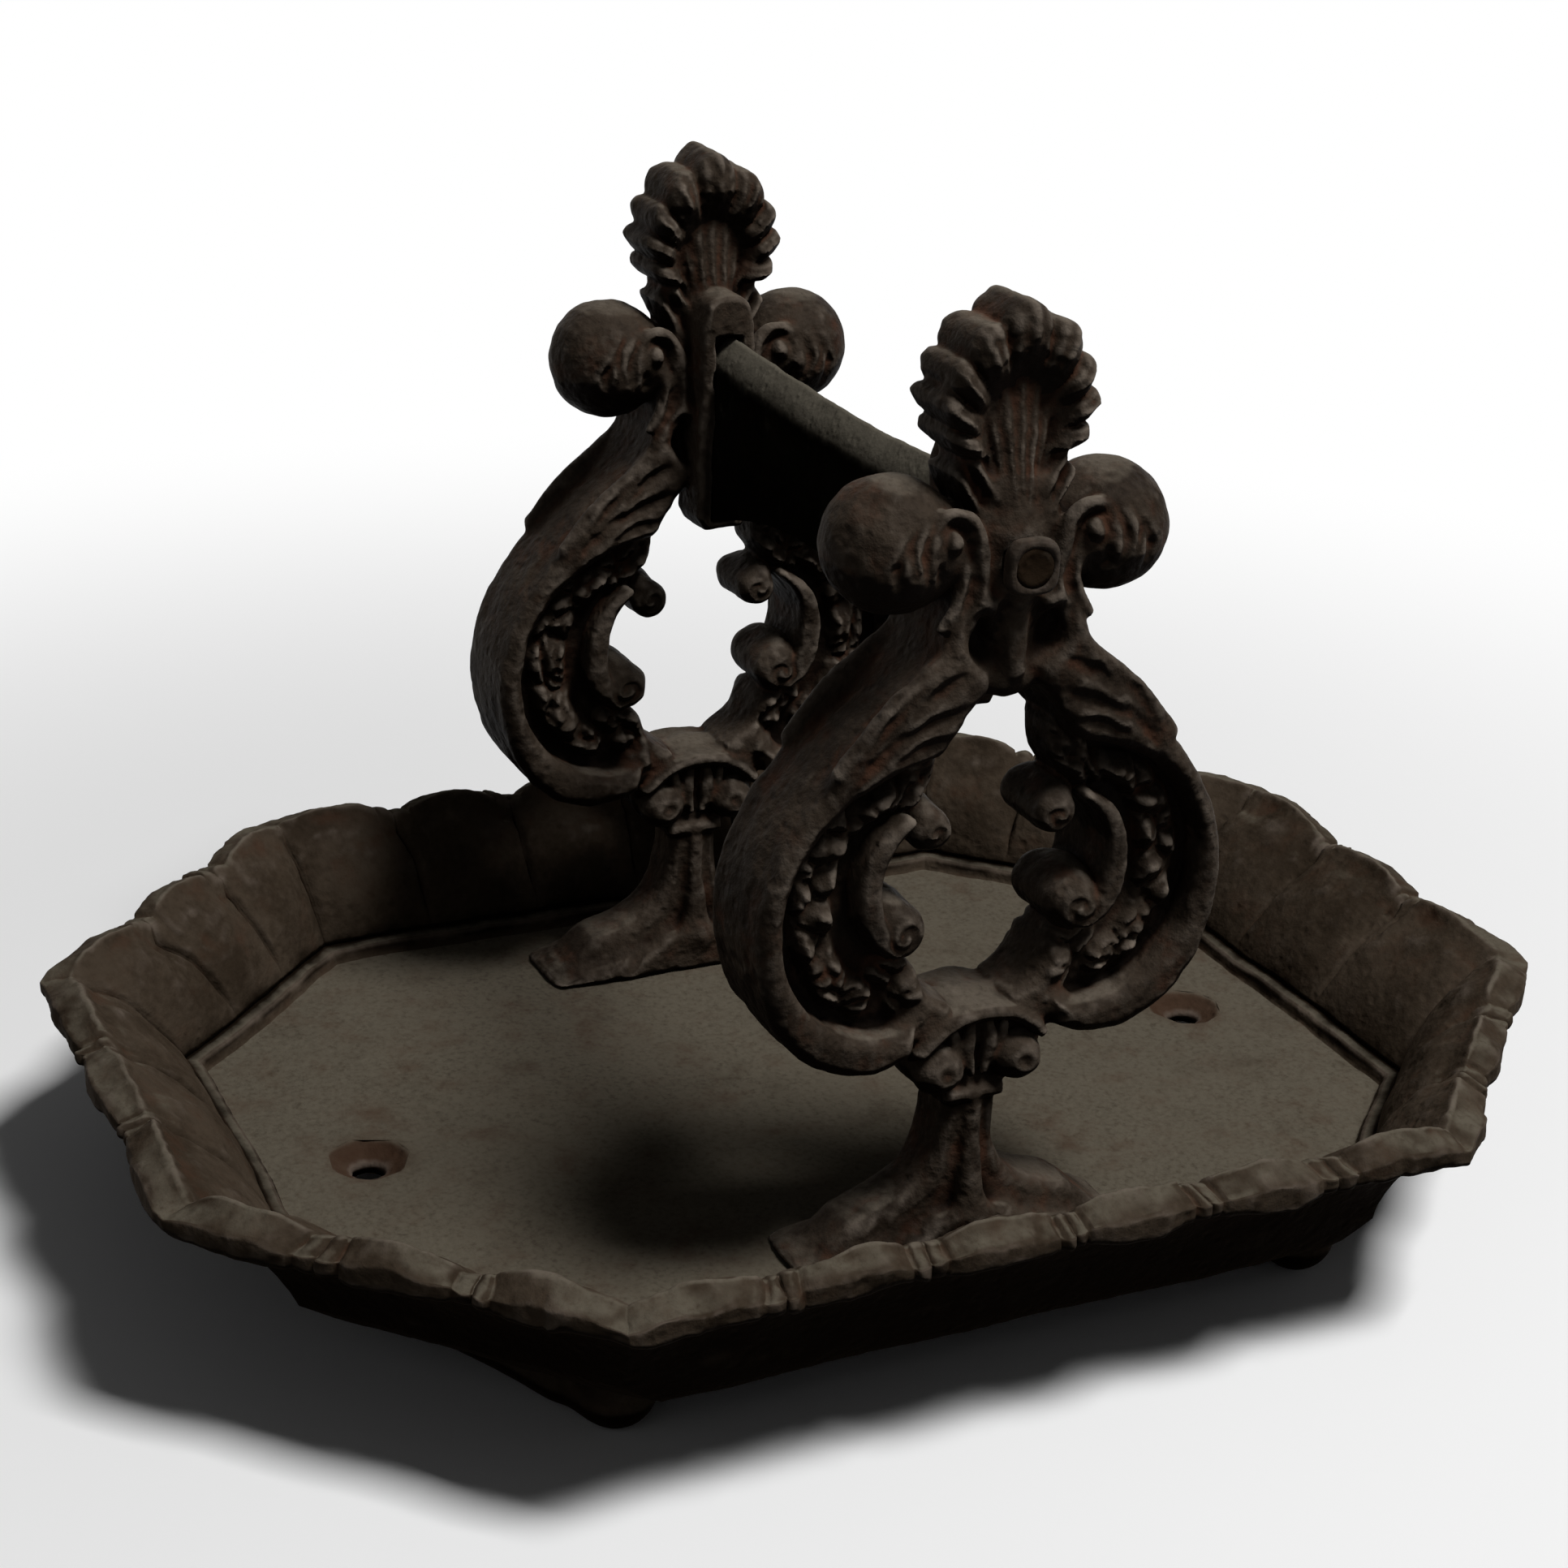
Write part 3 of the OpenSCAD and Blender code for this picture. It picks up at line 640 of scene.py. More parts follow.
@dataclass
class NodeSheet:
    """Adds and links nodes in one shader tree.

    Attributes:
        tree: The node tree to fill.
    """

    tree: bpy.types.NodeTree

    def add(self, kind: str, inputs: dict | None = None, **settings: object) -> bpy.types.Node:
        """Adds a node.

        Args:
            kind: Type name of the node.
            inputs: Value or source socket for each named or numbered input.
            settings: Properties of the node.

        Returns:
            The new node.
        """
        node = self.tree.nodes.new(kind)
        for key, value in settings.items():
            setattr(node, key, value)
        for key, value in (inputs or {}).items():
            if isinstance(value, Socket):
                self.tree.links.new(value, node.inputs[key])
            else:
                node.inputs[key].default_value = value
        return node

    def math(self, operation: str, *values: object) -> Socket:
        """Adds a math node.

        Args:
            operation: Name of the sum.
            values: Numbers or source sockets.

        Returns:
            Its result.
        """
        return self.add("ShaderNodeMath", dict(enumerate(values)), operation=operation).outputs[0]

    def fade(self, value: Socket, low: float, high: float) -> Socket:
        """Adds a smooth step.

        Args:
            value: The value to read.
            low: Value at which the step is 0.
            high: Value at which the step is 1.

        Returns:
            The step, from 0 to 1.
        """
        inputs = {"Value": value, "From Min": low, "From Max": high}
        return self.add("ShaderNodeMapRange", inputs, interpolation_type="SMOOTHSTEP").outputs[0]

    def cloud(self, place: Socket, size: object, detail: float) -> Socket:
        """Adds a noise pattern.

        Args:
            place: Coordinates to read.
            size: Waves in a metre.
            detail: Octaves of the pattern.

        Returns:
            The pattern's value.
        """
        inputs = {"Vector": place, "Scale": size, "Detail": detail, "Roughness": 0.6}
        return self.add("ShaderNodeTexNoise", inputs).outputs[0]

    def blend(self, share: object, first: object, second: object) -> Socket:
        """Mixes two colours.

        Args:
            share: How much of the second there is.
            first: Colour or source of the first.
            second: Colour or source of the second.

        Returns:
            The mixed colour.
        """
        inputs = {0: share}
        for number, colour in ((6, first), (7, second)):
            inputs[number] = colour if isinstance(colour, Socket) else (*colour, 1.0)
        return self.add("ShaderNodeMix", inputs, data_type="RGBA").outputs[2]

    def seen(self) -> Socket:
        """Tells the rays that show the background from the rays that only carry light.

        Returns:
            1 for camera, glossy and transmission rays, and 0 for the rest.
        """
        rays = self.add("ShaderNodeLightPath").outputs
        shown = self.math("MAXIMUM", rays["Is Camera Ray"], rays["Is Glossy Ray"])
        return self.math("MAXIMUM", shown, rays["Is Transmission Ray"])


def fresh_sheet(owner: Material | bpy.types.World) -> NodeSheet:
    """Empties a shader tree.

    Args:
        owner: The material or world that has the tree.

    Returns:
        A sheet on the empty tree.
    """
    owner.use_nodes = True
    owner.node_tree.nodes.clear()
    return NodeSheet(owner.node_tree)


@dataclass
class IronShop:
    """Makes the iron materials from effects that all of them share.

    Attributes:
        dust_rough: How much rougher dust makes the iron.
        ridge_rough: How much rougher rubbing makes it. It is below 0, since rubbing smooths.
        rust_rough: How much rougher rust makes it.
        bump: Strength of the grain's bump.
        groups: The shared effects by name.
    """

    dust_rough: float = 0.22
    ridge_rough: float = -0.14
    rust_rough: float = 0.15
    bump: float = 0.8
    groups: dict[str, bpy.types.NodeTree] = field(default_factory=dict)

    def effect(self, name: str, takes: Sequence[str], gives: Sequence[str]) -> tuple[NodeSheet, dict]:
        """Starts a shared effect.

        Args:
            name: Name of the effect.
            takes: Names of its inputs. Place is a vector and the rest are numbers.
            gives: Names of its outputs, all numbers.

        Returns:
            The sheet to fill, and the sockets that bring values in, by name.
        """
        group = bpy.data.node_groups.new(name, "ShaderNodeTree")
        for item in takes:
            kind = "NodeSocketVector" if item == "Place" else "NodeSocketFloat"
            group.interface.new_socket(item, in_out="INPUT", socket_type=kind)
        for item in gives:
            group.interface.new_socket(item, in_out="OUTPUT", socket_type="NodeSocketFloat")
        self.groups[name] = group
        sheet = NodeSheet(group)
        return sheet, {socket.name: socket for socket in sheet.add("NodeGroupInput").outputs}

    def build_effects(self) -> None:
        """Builds the casting grain, rubbed ridges with their painted highlight, hollow rust, painted shade in
        recesses and settled dust.
        """
        self.casting_grain()
        self.rubbed_ridges_and_highlights()
        self.hollow_rust()
        self.painted_recess_shade()
        self.settled_dust()

    def casting_grain(self) -> None:
        """Builds the sand-cast skin: fine grain, small pits and broad mottling."""
        sheet, takes = self.effect("casting_grain", ("Place", "Size"), ("Height", "Mottle"))
        fine = sheet.cloud(takes["Place"], takes["Size"], 5.0)
        pits = sheet.add(
            "ShaderNodeTexVoronoi",
            {"Vector": takes["Place"], "Scale": sheet.math("MULTIPLY", takes["Size"], 0.55)},
        ).outputs["Distance"]
        hollow = sheet.fade(pits, 0.05, 0.4)
        rolling = sheet.cloud(takes["Place"], sheet.math("MULTIPLY", takes["Size"], 0.2), 3.0)
        height = sheet.math("ADD", sheet.math("MULTIPLY", fine, 0.5), sheet.math("MULTIPLY", hollow, 0.25))
        height = sheet.math("ADD", height, sheet.math("MULTIPLY", rolling, 0.7))
        broad = sheet.cloud(takes["Place"], sheet.math("MULTIPLY", takes["Size"], 0.09), 6.0)
        mottle = sheet.math("ADD", sheet.math("MULTIPLY", broad, 0.7), sheet.math("MULTIPLY", fine, 0.3))
        sheet.add("NodeGroupOutput", {"Height": height, "Mottle": sheet.fade(mottle, 0.36, 0.64)})

    def rubbed_ridges_and_highlights(self) -> None:
        """Builds the mask of ridges rubbed bright by use, which also paints a highlight on them."""
        sheet, takes = self.effect("rubbed_ridges_and_highlights", ("Place", "Relief", "Amount"), ("Mask",))
        patches = sheet.cloud(takes["Place"], 130.0, 5.0)
        ridge = sheet.math("ADD", takes["Relief"], sheet.math("MULTIPLY_ADD", patches, 0.9, -0.45))
        mask = sheet.math("MULTIPLY", sheet.fade(ridge, 0.05, 0.75), takes["Amount"])
        sheet.add("NodeGroupOutput", {"Mask": mask})

    def hollow_rust(self) -> None:
        """Builds the mask of old rust that lies in hollows, in patches and in stains."""
        sheet, takes = self.effect("hollow_rust", ("Place", "Relief", "Stain", "Amount"), ("Mask",))
        patches = sheet.cloud(takes["Place"], 70.0, 6.0)
        low = sheet.math("MULTIPLY", takes["Relief"], -0.4)
        level = sheet.math("ADD", patches, low)
        mask = sheet.math("MULTIPLY", sheet.fade(level, 0.48, 0.85), takes["Amount"])
        sheet.add("NodeGroupOutput", {"Mask": sheet.math("MAXIMUM", mask, takes["Stain"])})

    def painted_recess_shade(self) -> None:
        """Builds the mask of painted shade that darkens deep recesses and undersides."""
        sheet, takes = self.effect("painted_recess_shade", ("Place", "Recess", "Amount"), ("Mask",))
        patches = sheet.cloud(takes["Place"], 160.0, 4.0)
        level = sheet.math("MULTIPLY_ADD", patches, 0.3, takes["Recess"])
        mask = sheet.math("MULTIPLY", sheet.fade(level, 0.2, 0.75), takes["Amount"])
        sheet.add("NodeGroupOutput", {"Mask": mask})

    def settled_dust(self) -> None:
        """Builds the mask of dust on faces that look up."""
        sheet, takes = self.effect("settled_dust", ("Place", "Amount"), ("Mask",))
        normal = sheet.add("ShaderNodeNewGeometry").outputs["Normal"]
        upward = sheet.add("ShaderNodeSeparateXYZ", {0: normal}).outputs[2]
        patches = sheet.cloud(takes["Place"], 45.0, 7.0)
        specks = sheet.cloud(takes["Place"], 620.0, 4.0)
        film = sheet.math("MULTIPLY", sheet.fade(upward, 0.84, 0.985), sheet.fade(patches, 0.1, 0.5))
        film = sheet.math("MULTIPLY", film, sheet.fade(specks, 0.0, 0.62))
        sheet.add("NodeGroupOutput", {"Mask": sheet.math("MULTIPLY", film, takes["Amount"])})

    def place(self, sheet: NodeSheet, name: str, **inputs: object) -> bpy.types.Node:
        """Places a shared effect in a material.

        Args:
            sheet: The material's sheet.
            name: Name of the effect.
            inputs: Value or source socket for each input.

        Returns:
            The effect's node.
        """
        return sheet.add("ShaderNodeGroup", inputs, node_tree=self.groups[name])

    def iron(self, finish: IronFinish) -> Material:
        """Makes one iron material.

        Args:
            finish: Its colours and wear.

        Returns:
            The material.
        """
        material = bpy.data.materials.new(finish.name)
        sheet = fresh_sheet(material)
        where = sheet.add("ShaderNodeTexCoord").outputs["Object"]
        relief, recess, stain = (
            sheet.add("ShaderNodeAttribute", attribute_name=name).outputs["Fac"]
            for name in ("relief", "recess", "stain")
        )
        grain = self.place(sheet, "casting_grain", Place=where, Size=finish.grain_size)
        ridges = self.place(sheet, "rubbed_ridges_and_highlights", Place=where, Relief=relief, Amount=finish.worn_and_highlight_amount)
        rust = self.place(
            sheet, "hollow_rust", Place=where, Relief=relief, Stain=stain, Amount=finish.rust_amount
        )
        painted_shade = self.place(sheet, "painted_recess_shade", Place=where, Recess=recess, Amount=finish.painted_shade_amount)
        dust = self.place(sheet, "settled_dust", Place=where, Amount=finish.dust_amount)
        colour = sheet.blend(grain.outputs["Mottle"], finish.dark, finish.brown)
        # The layers paint dust, rust, worn ridges that also carry a painted highlight, and painted shade in
        # recesses and on undersides.
        layers = ((dust, finish.dust), (rust, finish.rust), (ridges, finish.worn), (painted_shade, finish.painted_shade))
        for effect, layer in layers:
            colour = sheet.blend(effect.outputs["Mask"], colour, layer)
        rough = finish.roughness
        for effect, rise in ((dust, self.dust_rough), (ridges, self.ridge_rough), (rust, self.rust_rough)):
            rough = sheet.math("MULTIPLY_ADD", effect.outputs["Mask"], rise, rough)
        bump = sheet.add(
            "ShaderNodeBump",
            {"Height": grain.outputs["Height"], "Strength": self.bump, "Distance": finish.grain_depth},
        )
        shader = sheet.add(
            "ShaderNodeBsdfPrincipled",
            {"Base Color": colour, "Roughness": rough, "Normal": bump.outputs[0]},
        )
        shader.inputs["Specular IOR Level"].default_value = finish.sheen
        sheet.add("ShaderNodeOutputMaterial", {0: shader.outputs[0]})
        return material


def dress(piece: Piece, node: str, material: Material) -> None:
    """Gives a piece its material and lets it stand for its solid.

    Args:
        piece: The mesh object.
        node: Name of the solid's node.
        material: The material.
    """
    piece.data.materials.append(material)
    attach(piece, "root")
    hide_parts(node)
    log.info("%s: %d faces for %s", piece.name, len(piece.data.polygons), node)


@dataclass
class Support:
    """One lyre support. Sizes are in millimetres, Y across, Z up from the tray floor, X along the blade.

    Attributes:
        node: Node that the support stands for.
        side: End of the blade that it holds.
        seed: Number that picks its casting flaws.
        scroll_half: Half thickness of the scrolls.
        web_half: Half thickness of the sunk middle.
        neck_half_depth: Half thickness of the neck.
        cap_half_depth: Half depth of the arched cap.
        lug_face: Distance of the lug's face from the middle.
        lug_half: Half width of the lug.
        blade_half: Half width of the seat cut for the blade.
        tenon_z: Height of the blade's tenon.
        tenon_r: Radius of the tenon's bore.
        ball_place: Place of a ball beside the neck, in Y and Z.
        ball_r: Radius of a ball.
        eye: Place of the eye of a ball, in Y and Z.
        fan_z: Height of the foot of the shell's fan.
        bolt_y: Distance of a base bolt from the middle.
        bolt_r: Radius of a base bolt's bore.
        bolt_in: Depth of a base bolt's bore.
        notch_in: How far the shell's border draws in between two lobes.
        flaws: Size and height of its coarse, medium and fine casting flaws.
        clay: The clay that it is sculpted from.
    """

    node: str
    side: Side
    seed: int
    scroll_half: float = 16.0
    web_half: float = 6.0
    neck_half_depth: float = 14.0
    cap_half_depth: float = 13.5
    lug_face: float = 22.0
    lug_half: float = 8.0
    blade_half: float = 4.2
    tenon_z: float = 187.0
    tenon_r: float = 5.2
    ball_place: tuple[float, float] = (28.4, 189.8)
    ball_r: float = 16.2
    eye: tuple[float, float] = (19.0, 192.6)
    fan_z: float = 213.0
    bolt_y: float = 29.0
    bolt_r: float = 4.2
    bolt_in: float = 10.2
    notch_in: float = 2.4
    flaws: tuple[tuple[float, float], ...] = ((24.0, 0.7), (6.0, 0.4), (2.4, 0.14))
    clay: Clay = field(init=False, repr=False)

    def build(self, material: Material) -> Piece:
        """Sculpts the support, stands it in its place and dresses it.

        Args:
            material: Iron of the supports.

        Returns:
            The finished piece.
        """
        low, high = (np.array(corner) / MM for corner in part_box(self.node))
        front = high[0] - low[0] - self.lug_face
        size = np.array([front, high[1], high[2] - low[2]])
        self.clay = Clay((-self.lug_face - 2, 0, -2), tuple(size + 2), step=0.7)
        self.scrolls()
        self.rocaille()
        self.curls()
        self.neck()
        self.husks()
        self.volutes()
        self.shell()
        self.cap()
        self.stem()
        self.foot()
        self.seats()
        self.clay.trim((-self.lug_face, -1.0, 0.0), tuple(size))
        points, quads = self.clay.skin(rounds=2)
        coarse, medium, fine = self.flaws
        points = points + wobble(points, *coarse, self.seed) + wobble(points, *medium, self.seed + 3)
        points = points + wobble(points, *fine, self.seed + 6)
        points = np.clip(points, [-self.lug_face, -size[1], 0.0], size)
        turn = self.side.value
        middle = low[0] + self.lug_face if turn > 0 else high[0] - self.lug_face
        points = points * [turn, turn, 1.0] + [middle, 0.0, low[2]]
        piece = make_piece(f"{self.node}_casting", points, quads.tolist())
        mark_relief(piece, Relief(fine_rounds=10, fine_full=0.6, broad_rounds=150, broad_full=3.0))
        dress(piece, self.node, material)
        return piece

    def on_face(self, x: float, points: Points) -> np.ndarray:
        """Sets a path in Y and Z on a face.

        Args:
            x: Where the face is.
            points: Given points of the path.

        Returns:
            The smooth path.
        """
        path = smooth_path(points)
        return np.column_stack([np.full(len(path), x), path])

    def scrolls(self) -> None:
        """Presses in the arms with their rounded lip, and the sunk middle inside them."""
        clay = self.clay
        outer = smooth_path([
            (11, 182), (17, 173.5), (21, 164.5), (30.5, 153), (42.5, 141.5), (51.8, 130.5), (58.4, 120),
            (62.3, 110), (63.8, 99.5), (63, 89.5), (60.5, 79.8), (56.3, 72), (50.2, 65.3), (42.6, 60.6),
            (34.6, 58.9), (27, 59.8), (21, 62.2),
        ])
        lip = smooth_path([
            (20, 69), (28, 68.2), (36.3, 69.4), (43.8, 73), (50.2, 79), (54.8, 86.5), (57.1, 95), (57.3, 104),
            (55.6, 112.7), (51.5, 120.6), (45.5, 128), (37.5, 134.3), (28, 138.4), (19, 140.4),
        ])
        inner = [(17, 142.5), (14.5, 148), (8, 155.5), (6, 163), (6, 178)]
        arm = clay.outline(np.vstack([outer, lip, inner]))
        clay.slab(arm, -self.scroll_half, self.scroll_half, edge=3.6)
        bite = smooth_path([
            (19, 64), (18.5, 77), (22, 86), (24, 94), (31, 100.5), (32.5, 107), (29, 116), (22, 124),
            (18, 132), (18, 142),
        ])
        web_start = 18
        web = clay.outline(np.vstack([outer[web_start:], bite]))
        clay.slab(web, -self.web_half, self.web_half, edge=1.5)

    def rocaille(self) -> None:
        """Presses in the crumpled leaves between the lip and the crescent, and the crescent."""
        clay = self.clay
        spine = smooth_path([
            (29.5, 131), (38, 126), (44.6, 117.5), (47.6, 107), (47.2, 97), (45, 88.5), (40.4, 82),
            (34.5, 77.5),
        ])
        mass = clay.stroke(spine, (3.4, 5.4, 6.0, 5.6, 4.8))
        upper = smooth_path([(18.6, 140), (21, 134.5), (24.5, 129.5), (28, 126.5)])
        lower = smooth_path([(19.4, 70.5), (21.6, 76.5), (24.2, 81.5), (30, 84.5)])
        for path, radii in ((upper, (3.4, 5.0, 4.2, 2.6)), (lower, (4.6, 5.4, 5.4, 3.2))):
            mass = np.minimum(mass, clay.stroke(path, radii))
        rise = np.clip(0.35 - mass / 4.0, 0.0, 1.0)
        leaves = 0.75 * clay.crumple(12.0, self.seed) + 0.25 * clay.crumple(5.0, self.seed + 2)
        clay.relief(mass, 6.5 + 7.5 * rise * leaves, edge=2.4, blend=1.4)
        crescent = smooth_path([
            (24.5, 124), (30, 119.3), (33.3, 112.5), (34, 105.5), (33.2, 99), (30.6, 94), (27, 91),
        ])
        clay.slab(clay.stroke(crescent, (1.4, 2.6, 3.1, 3.0, 2.6)), -14.2, 14.2, edge=2.2, blend=0.6)

    def curls(self) -> None:
        """Presses in the curls at both ends of the crescent."""
        clay = self.clay
        places = ((17.2, 119.6), (24.4, 93.8))
        for (y, z), radius, depth in zip(places, (5.6, 7.0), (12.6, 14.2)):
            disc = clay.stroke([(y, z), (y, z)], (radius, radius))
            clay.slab(disc, -depth, depth, edge=radius - 0.6, blend=1.6)
            clay.ball((0, y + 1.5, z + 4.0), (depth - 2.0, radius * 0.8, radius * 0.7), 30.0, blend=1.4)
        for face in FACES:
            for place, radius, x, start in zip(places, (3.6, 4.6), (12.4, 14.0), (60.0, 30.0)):
                self.spiral(place, radius, face * x, start)

    def spiral(self, centre: tuple[float, float], radius: float, x: float, start: float) -> None:
        """Cuts a spiral line into the face of a curl.

        Args:
            centre: Middle of the spiral in Y and Z.
            radius: Its outer radius.
            x: Face that it is cut into.
            start: Angle of its outer end in degrees.
        """
        turn, shrink = 27.0, 0.052
        path = []
        for step in range(15):
            angle = math.radians(start - turn * step)
            size = radius * (1 - shrink * step)
            path.append((x, centre[0] + size * math.cos(angle), centre[1] + size * math.sin(angle)))
        self.clay.rod(path, (0.6, 1.3, 1.4, 0.9), blend=0.8, cut=True)

    def husks(self) -> None:
        """Lays shallow twisted leaves over the start of each arm, on both faces."""
        clay = self.clay
        leaves = (
            [(15.5, 165), (20, 162), (26.5, 156.8), (36, 149), (45, 139.5)],
            [(13, 158), (18, 155.6), (27, 150.4), (38, 142.4)],
            [(14.5, 149.2), (21, 147.2), (30, 143.2), (40, 136.6)],
        )
        grooves = (
            [(11, 161.6), (20, 158.4), (28, 152.6)], [(25, 159), (33, 151.2), (40, 142.5)],
            [(12, 153.2), (22, 150.4), (31.5, 145.8)], [(16.5, 145.6), (24, 144.2), (31, 141.2)],
            [(31, 147.8), (38, 141), (44, 133)],
        )
        for face in FACES:
            for leaf in leaves:
                path = self.on_face(face * (self.scroll_half - 2.4), leaf)
                clay.rod(path, (0.8, 2.8, 3.2, 2.0), blend=2.6)
            for groove in grooves:
                path = self.on_face(face * (self.scroll_half + 1.1), groove)
                clay.rod(path, (0.8, 1.9, 0.6), blend=1.4, cut=True)

    def neck(self) -> None:
        """Presses in the neck, its hanging tongue, and the deep hollows beside the tongue."""
        clay = self.clay
        depth = self.neck_half_depth
        body = clay.outline([
            (-12, 152.5), (7, 152.5), (15.5, 168), (17, 178), (15.5, 190), (11.5, 199), (9.5, 207),
            (-12, 207),
        ])
        clay.slab(body, -depth + 3.0, depth - 3.0, edge=3.5, blend=3.0)
        for face in FACES:
            boss = [(face * (depth - 7.5), 0, 181), (face * (depth - 7.5), 0, 191)]
            clay.rod(boss, (9.0, 8.6), blend=3.0)
            clay.ball((face * (depth + 2.2), 9.2, 168.0), (8.4, 4.6, 8.6), -26.0, blend=2.6, cut=True)
            clay.ball((face * (depth + 1.0), 10.8, 199.6), (7.0, 3.0, 5.0), 20.0, blend=1.4, cut=True)
            tongue = self.on_face(face * (depth - 2.6), [(0, 177), (0.4, 168), (0, 160)])
            clay.rod(tongue, (3.6, 2.9, 3.0), blend=1.8)
            clay.ball((face * (depth - 5.0), 0, 156.8), (4.0, 4.8, 4.4), blend=2.4)

    def volutes(self) -> None:
        """Presses in the balls beside the neck, rolled from strands that wind round an eye."""
        clay = self.clay
        y, z = self.ball_place
        clay.ball((0, y, z), (self.ball_r + 0.6, self.ball_r, self.ball_r), blend=2.0)
        clay.ball((0, 18.2, 189.0), (13.6, 7.6, 10.5), blend=3.0)
        strands = (
            [(16.5, 165.5), (12.6, 173.5), (10.8, 182.5), (11.4, 190.5), (14.4, 196.8), (19.2, 198.8),
             (23.6, 197)],
            [(19.5, 172), (15.8, 177.5), (14.6, 183.5), (16.2, 188)],
        )
        grooves = (
            [(17.2, 187.2), (15.0, 190.2), (15.2, 194.2), (18.2, 196.6), (21.6, 195.8)],
            [(16.2, 174.5), (13.2, 180.5), (12.8, 187)], [(21.5, 175.5), (18, 180.5), (17.4, 185.5)],
            [(22.4, 187.6), (21.8, 182), (23.6, 177.6)],
        )
        veins = ((7.0, 8.0, -6.0, 1.7), (11.0, 9.0, -3.0, 1.2), (14.0, 5.0, -8.0, 1.6))
        for face in FACES:
            for strand in strands:
                clay.rod(self.on_face(face * 12.4, strand), (1.4, 2.0, 2.4, 2.3, 2.0, 1.2), blend=1.6)
            for groove in grooves:
                clay.rod(self.on_face(face * 15.2, groove), (0.9, 2.0, 2.1, 1.0), blend=0.8, cut=True)
            clay.ball((face * 13.4, *self.eye), (3.0, 2.5, 2.7), blend=0.6)
            for lead, high, low, thick in veins:
                out = self.eye[0] + lead
                middle = (out + 0.8, z + 0.5 * (high + low))
                vein = smooth_path([(out - 1.8, z + high), middle, (out - 0.6, z + low)])
                clay.rod([self.on_ball(p, face, 0.6) for p in vein], (0.4, thick, 0.5), blend=0.9, cut=True)

    def on_ball(self, place: Sequence[float], face: int, lift: float) -> tuple[float, float, float]:
        """Finds the point of a ball's face over a place.

        Args:
            place: Place in Y and Z.
            face: 1 for the outer face and -1 for the inner one.
            lift: Distance above that face.

        Returns:
            The point.
        """
        y, z = self.ball_place
        room = self.ball_r ** 2 - (place[0] - y) ** 2 - (place[1] - z) ** 2
        return face * (math.sqrt(max(room, 6.0)) + lift), place[0], place[1]

    def shell(self) -> None:
        """Presses in the shell: lobes that swell to a scalloped border round a dished, ribbed fan."""
        clay = self.clay
        lobes = ((90.0, 13.0), (66.0, 11.0), (46.0, 9.0), (27.0, 10.0), (5.0, 12.0))
        y, z = clay.axes[1][:, None], clay.axes[2][None, :]
        angle = np.degrees(np.arctan2(z - self.fan_z, y))
        across = np.ones(angle.shape)
        for middle, half in lobes:
            across = np.minimum(across, np.abs(angle - middle) / half)
        border = self.shell_reach(angle) - self.notch_in * across ** 2
        share = np.hypot(y, z - self.fan_z) / border
        swell = np.sqrt(np.clip(1 - ((share - 0.74) / 0.36) ** 2, 0.05, 1.0))
        hood = ramp(share, 0.36, 0.78) * swell
        face = 6.4 + 6.4 * hood * (1 - 0.5 * across ** 2) + 0.4 * hood * np.cos(3 * math.pi * across)
        face = face + 1.5 * hood * (clay.crumple(10.0, self.seed + 4) - 0.6)
        lean = np.degrees(np.arctan2(y, z - 184.0))
        fan = np.interp(z, (194.0, 204.0, 214.0, 224.0, 232.0), (12.4, 11.2, 9.2, 7.4, 6.4))
        ribs = 0.45 * np.cos(np.radians(60.0 * lean))
        fan = fan * np.sqrt(np.clip(1.06 - (lean / 20.0) ** 2, 0.0, 1.0)) + ribs
        slant = 0.83 * (y - 8) - 0.55 * (z - 204)
        leaf = 8.6 + 1.7 * np.cos(2 * math.pi * slant / 5.2)
        above = np.maximum(ramp(angle, -16.0, -4.0), ramp(-lean, -19.0, -14.0))
        face = leaf + (np.maximum(face, fan) - leaf) * above
        rim = []
        for step in range(49):
            turn = 90.0 - 2.1 * step
            notch = min(abs(turn - middle) / half for middle, half in lobes)
            reach = float(self.shell_reach(np.array(turn))) - self.notch_in * min(notch, 1.0) ** 2
            cos, sin = math.cos(math.radians(turn)), math.sin(math.radians(turn))
            rim.append((reach * cos, self.fan_z + reach * sin))
        rim += [(15.8, 206.5), (13.6, 200.5), (10.0, 196), (-12, 196), (-12, 246)]
        clay.relief(clay.outline(rim), face, edge=2.6, blend=2.0)

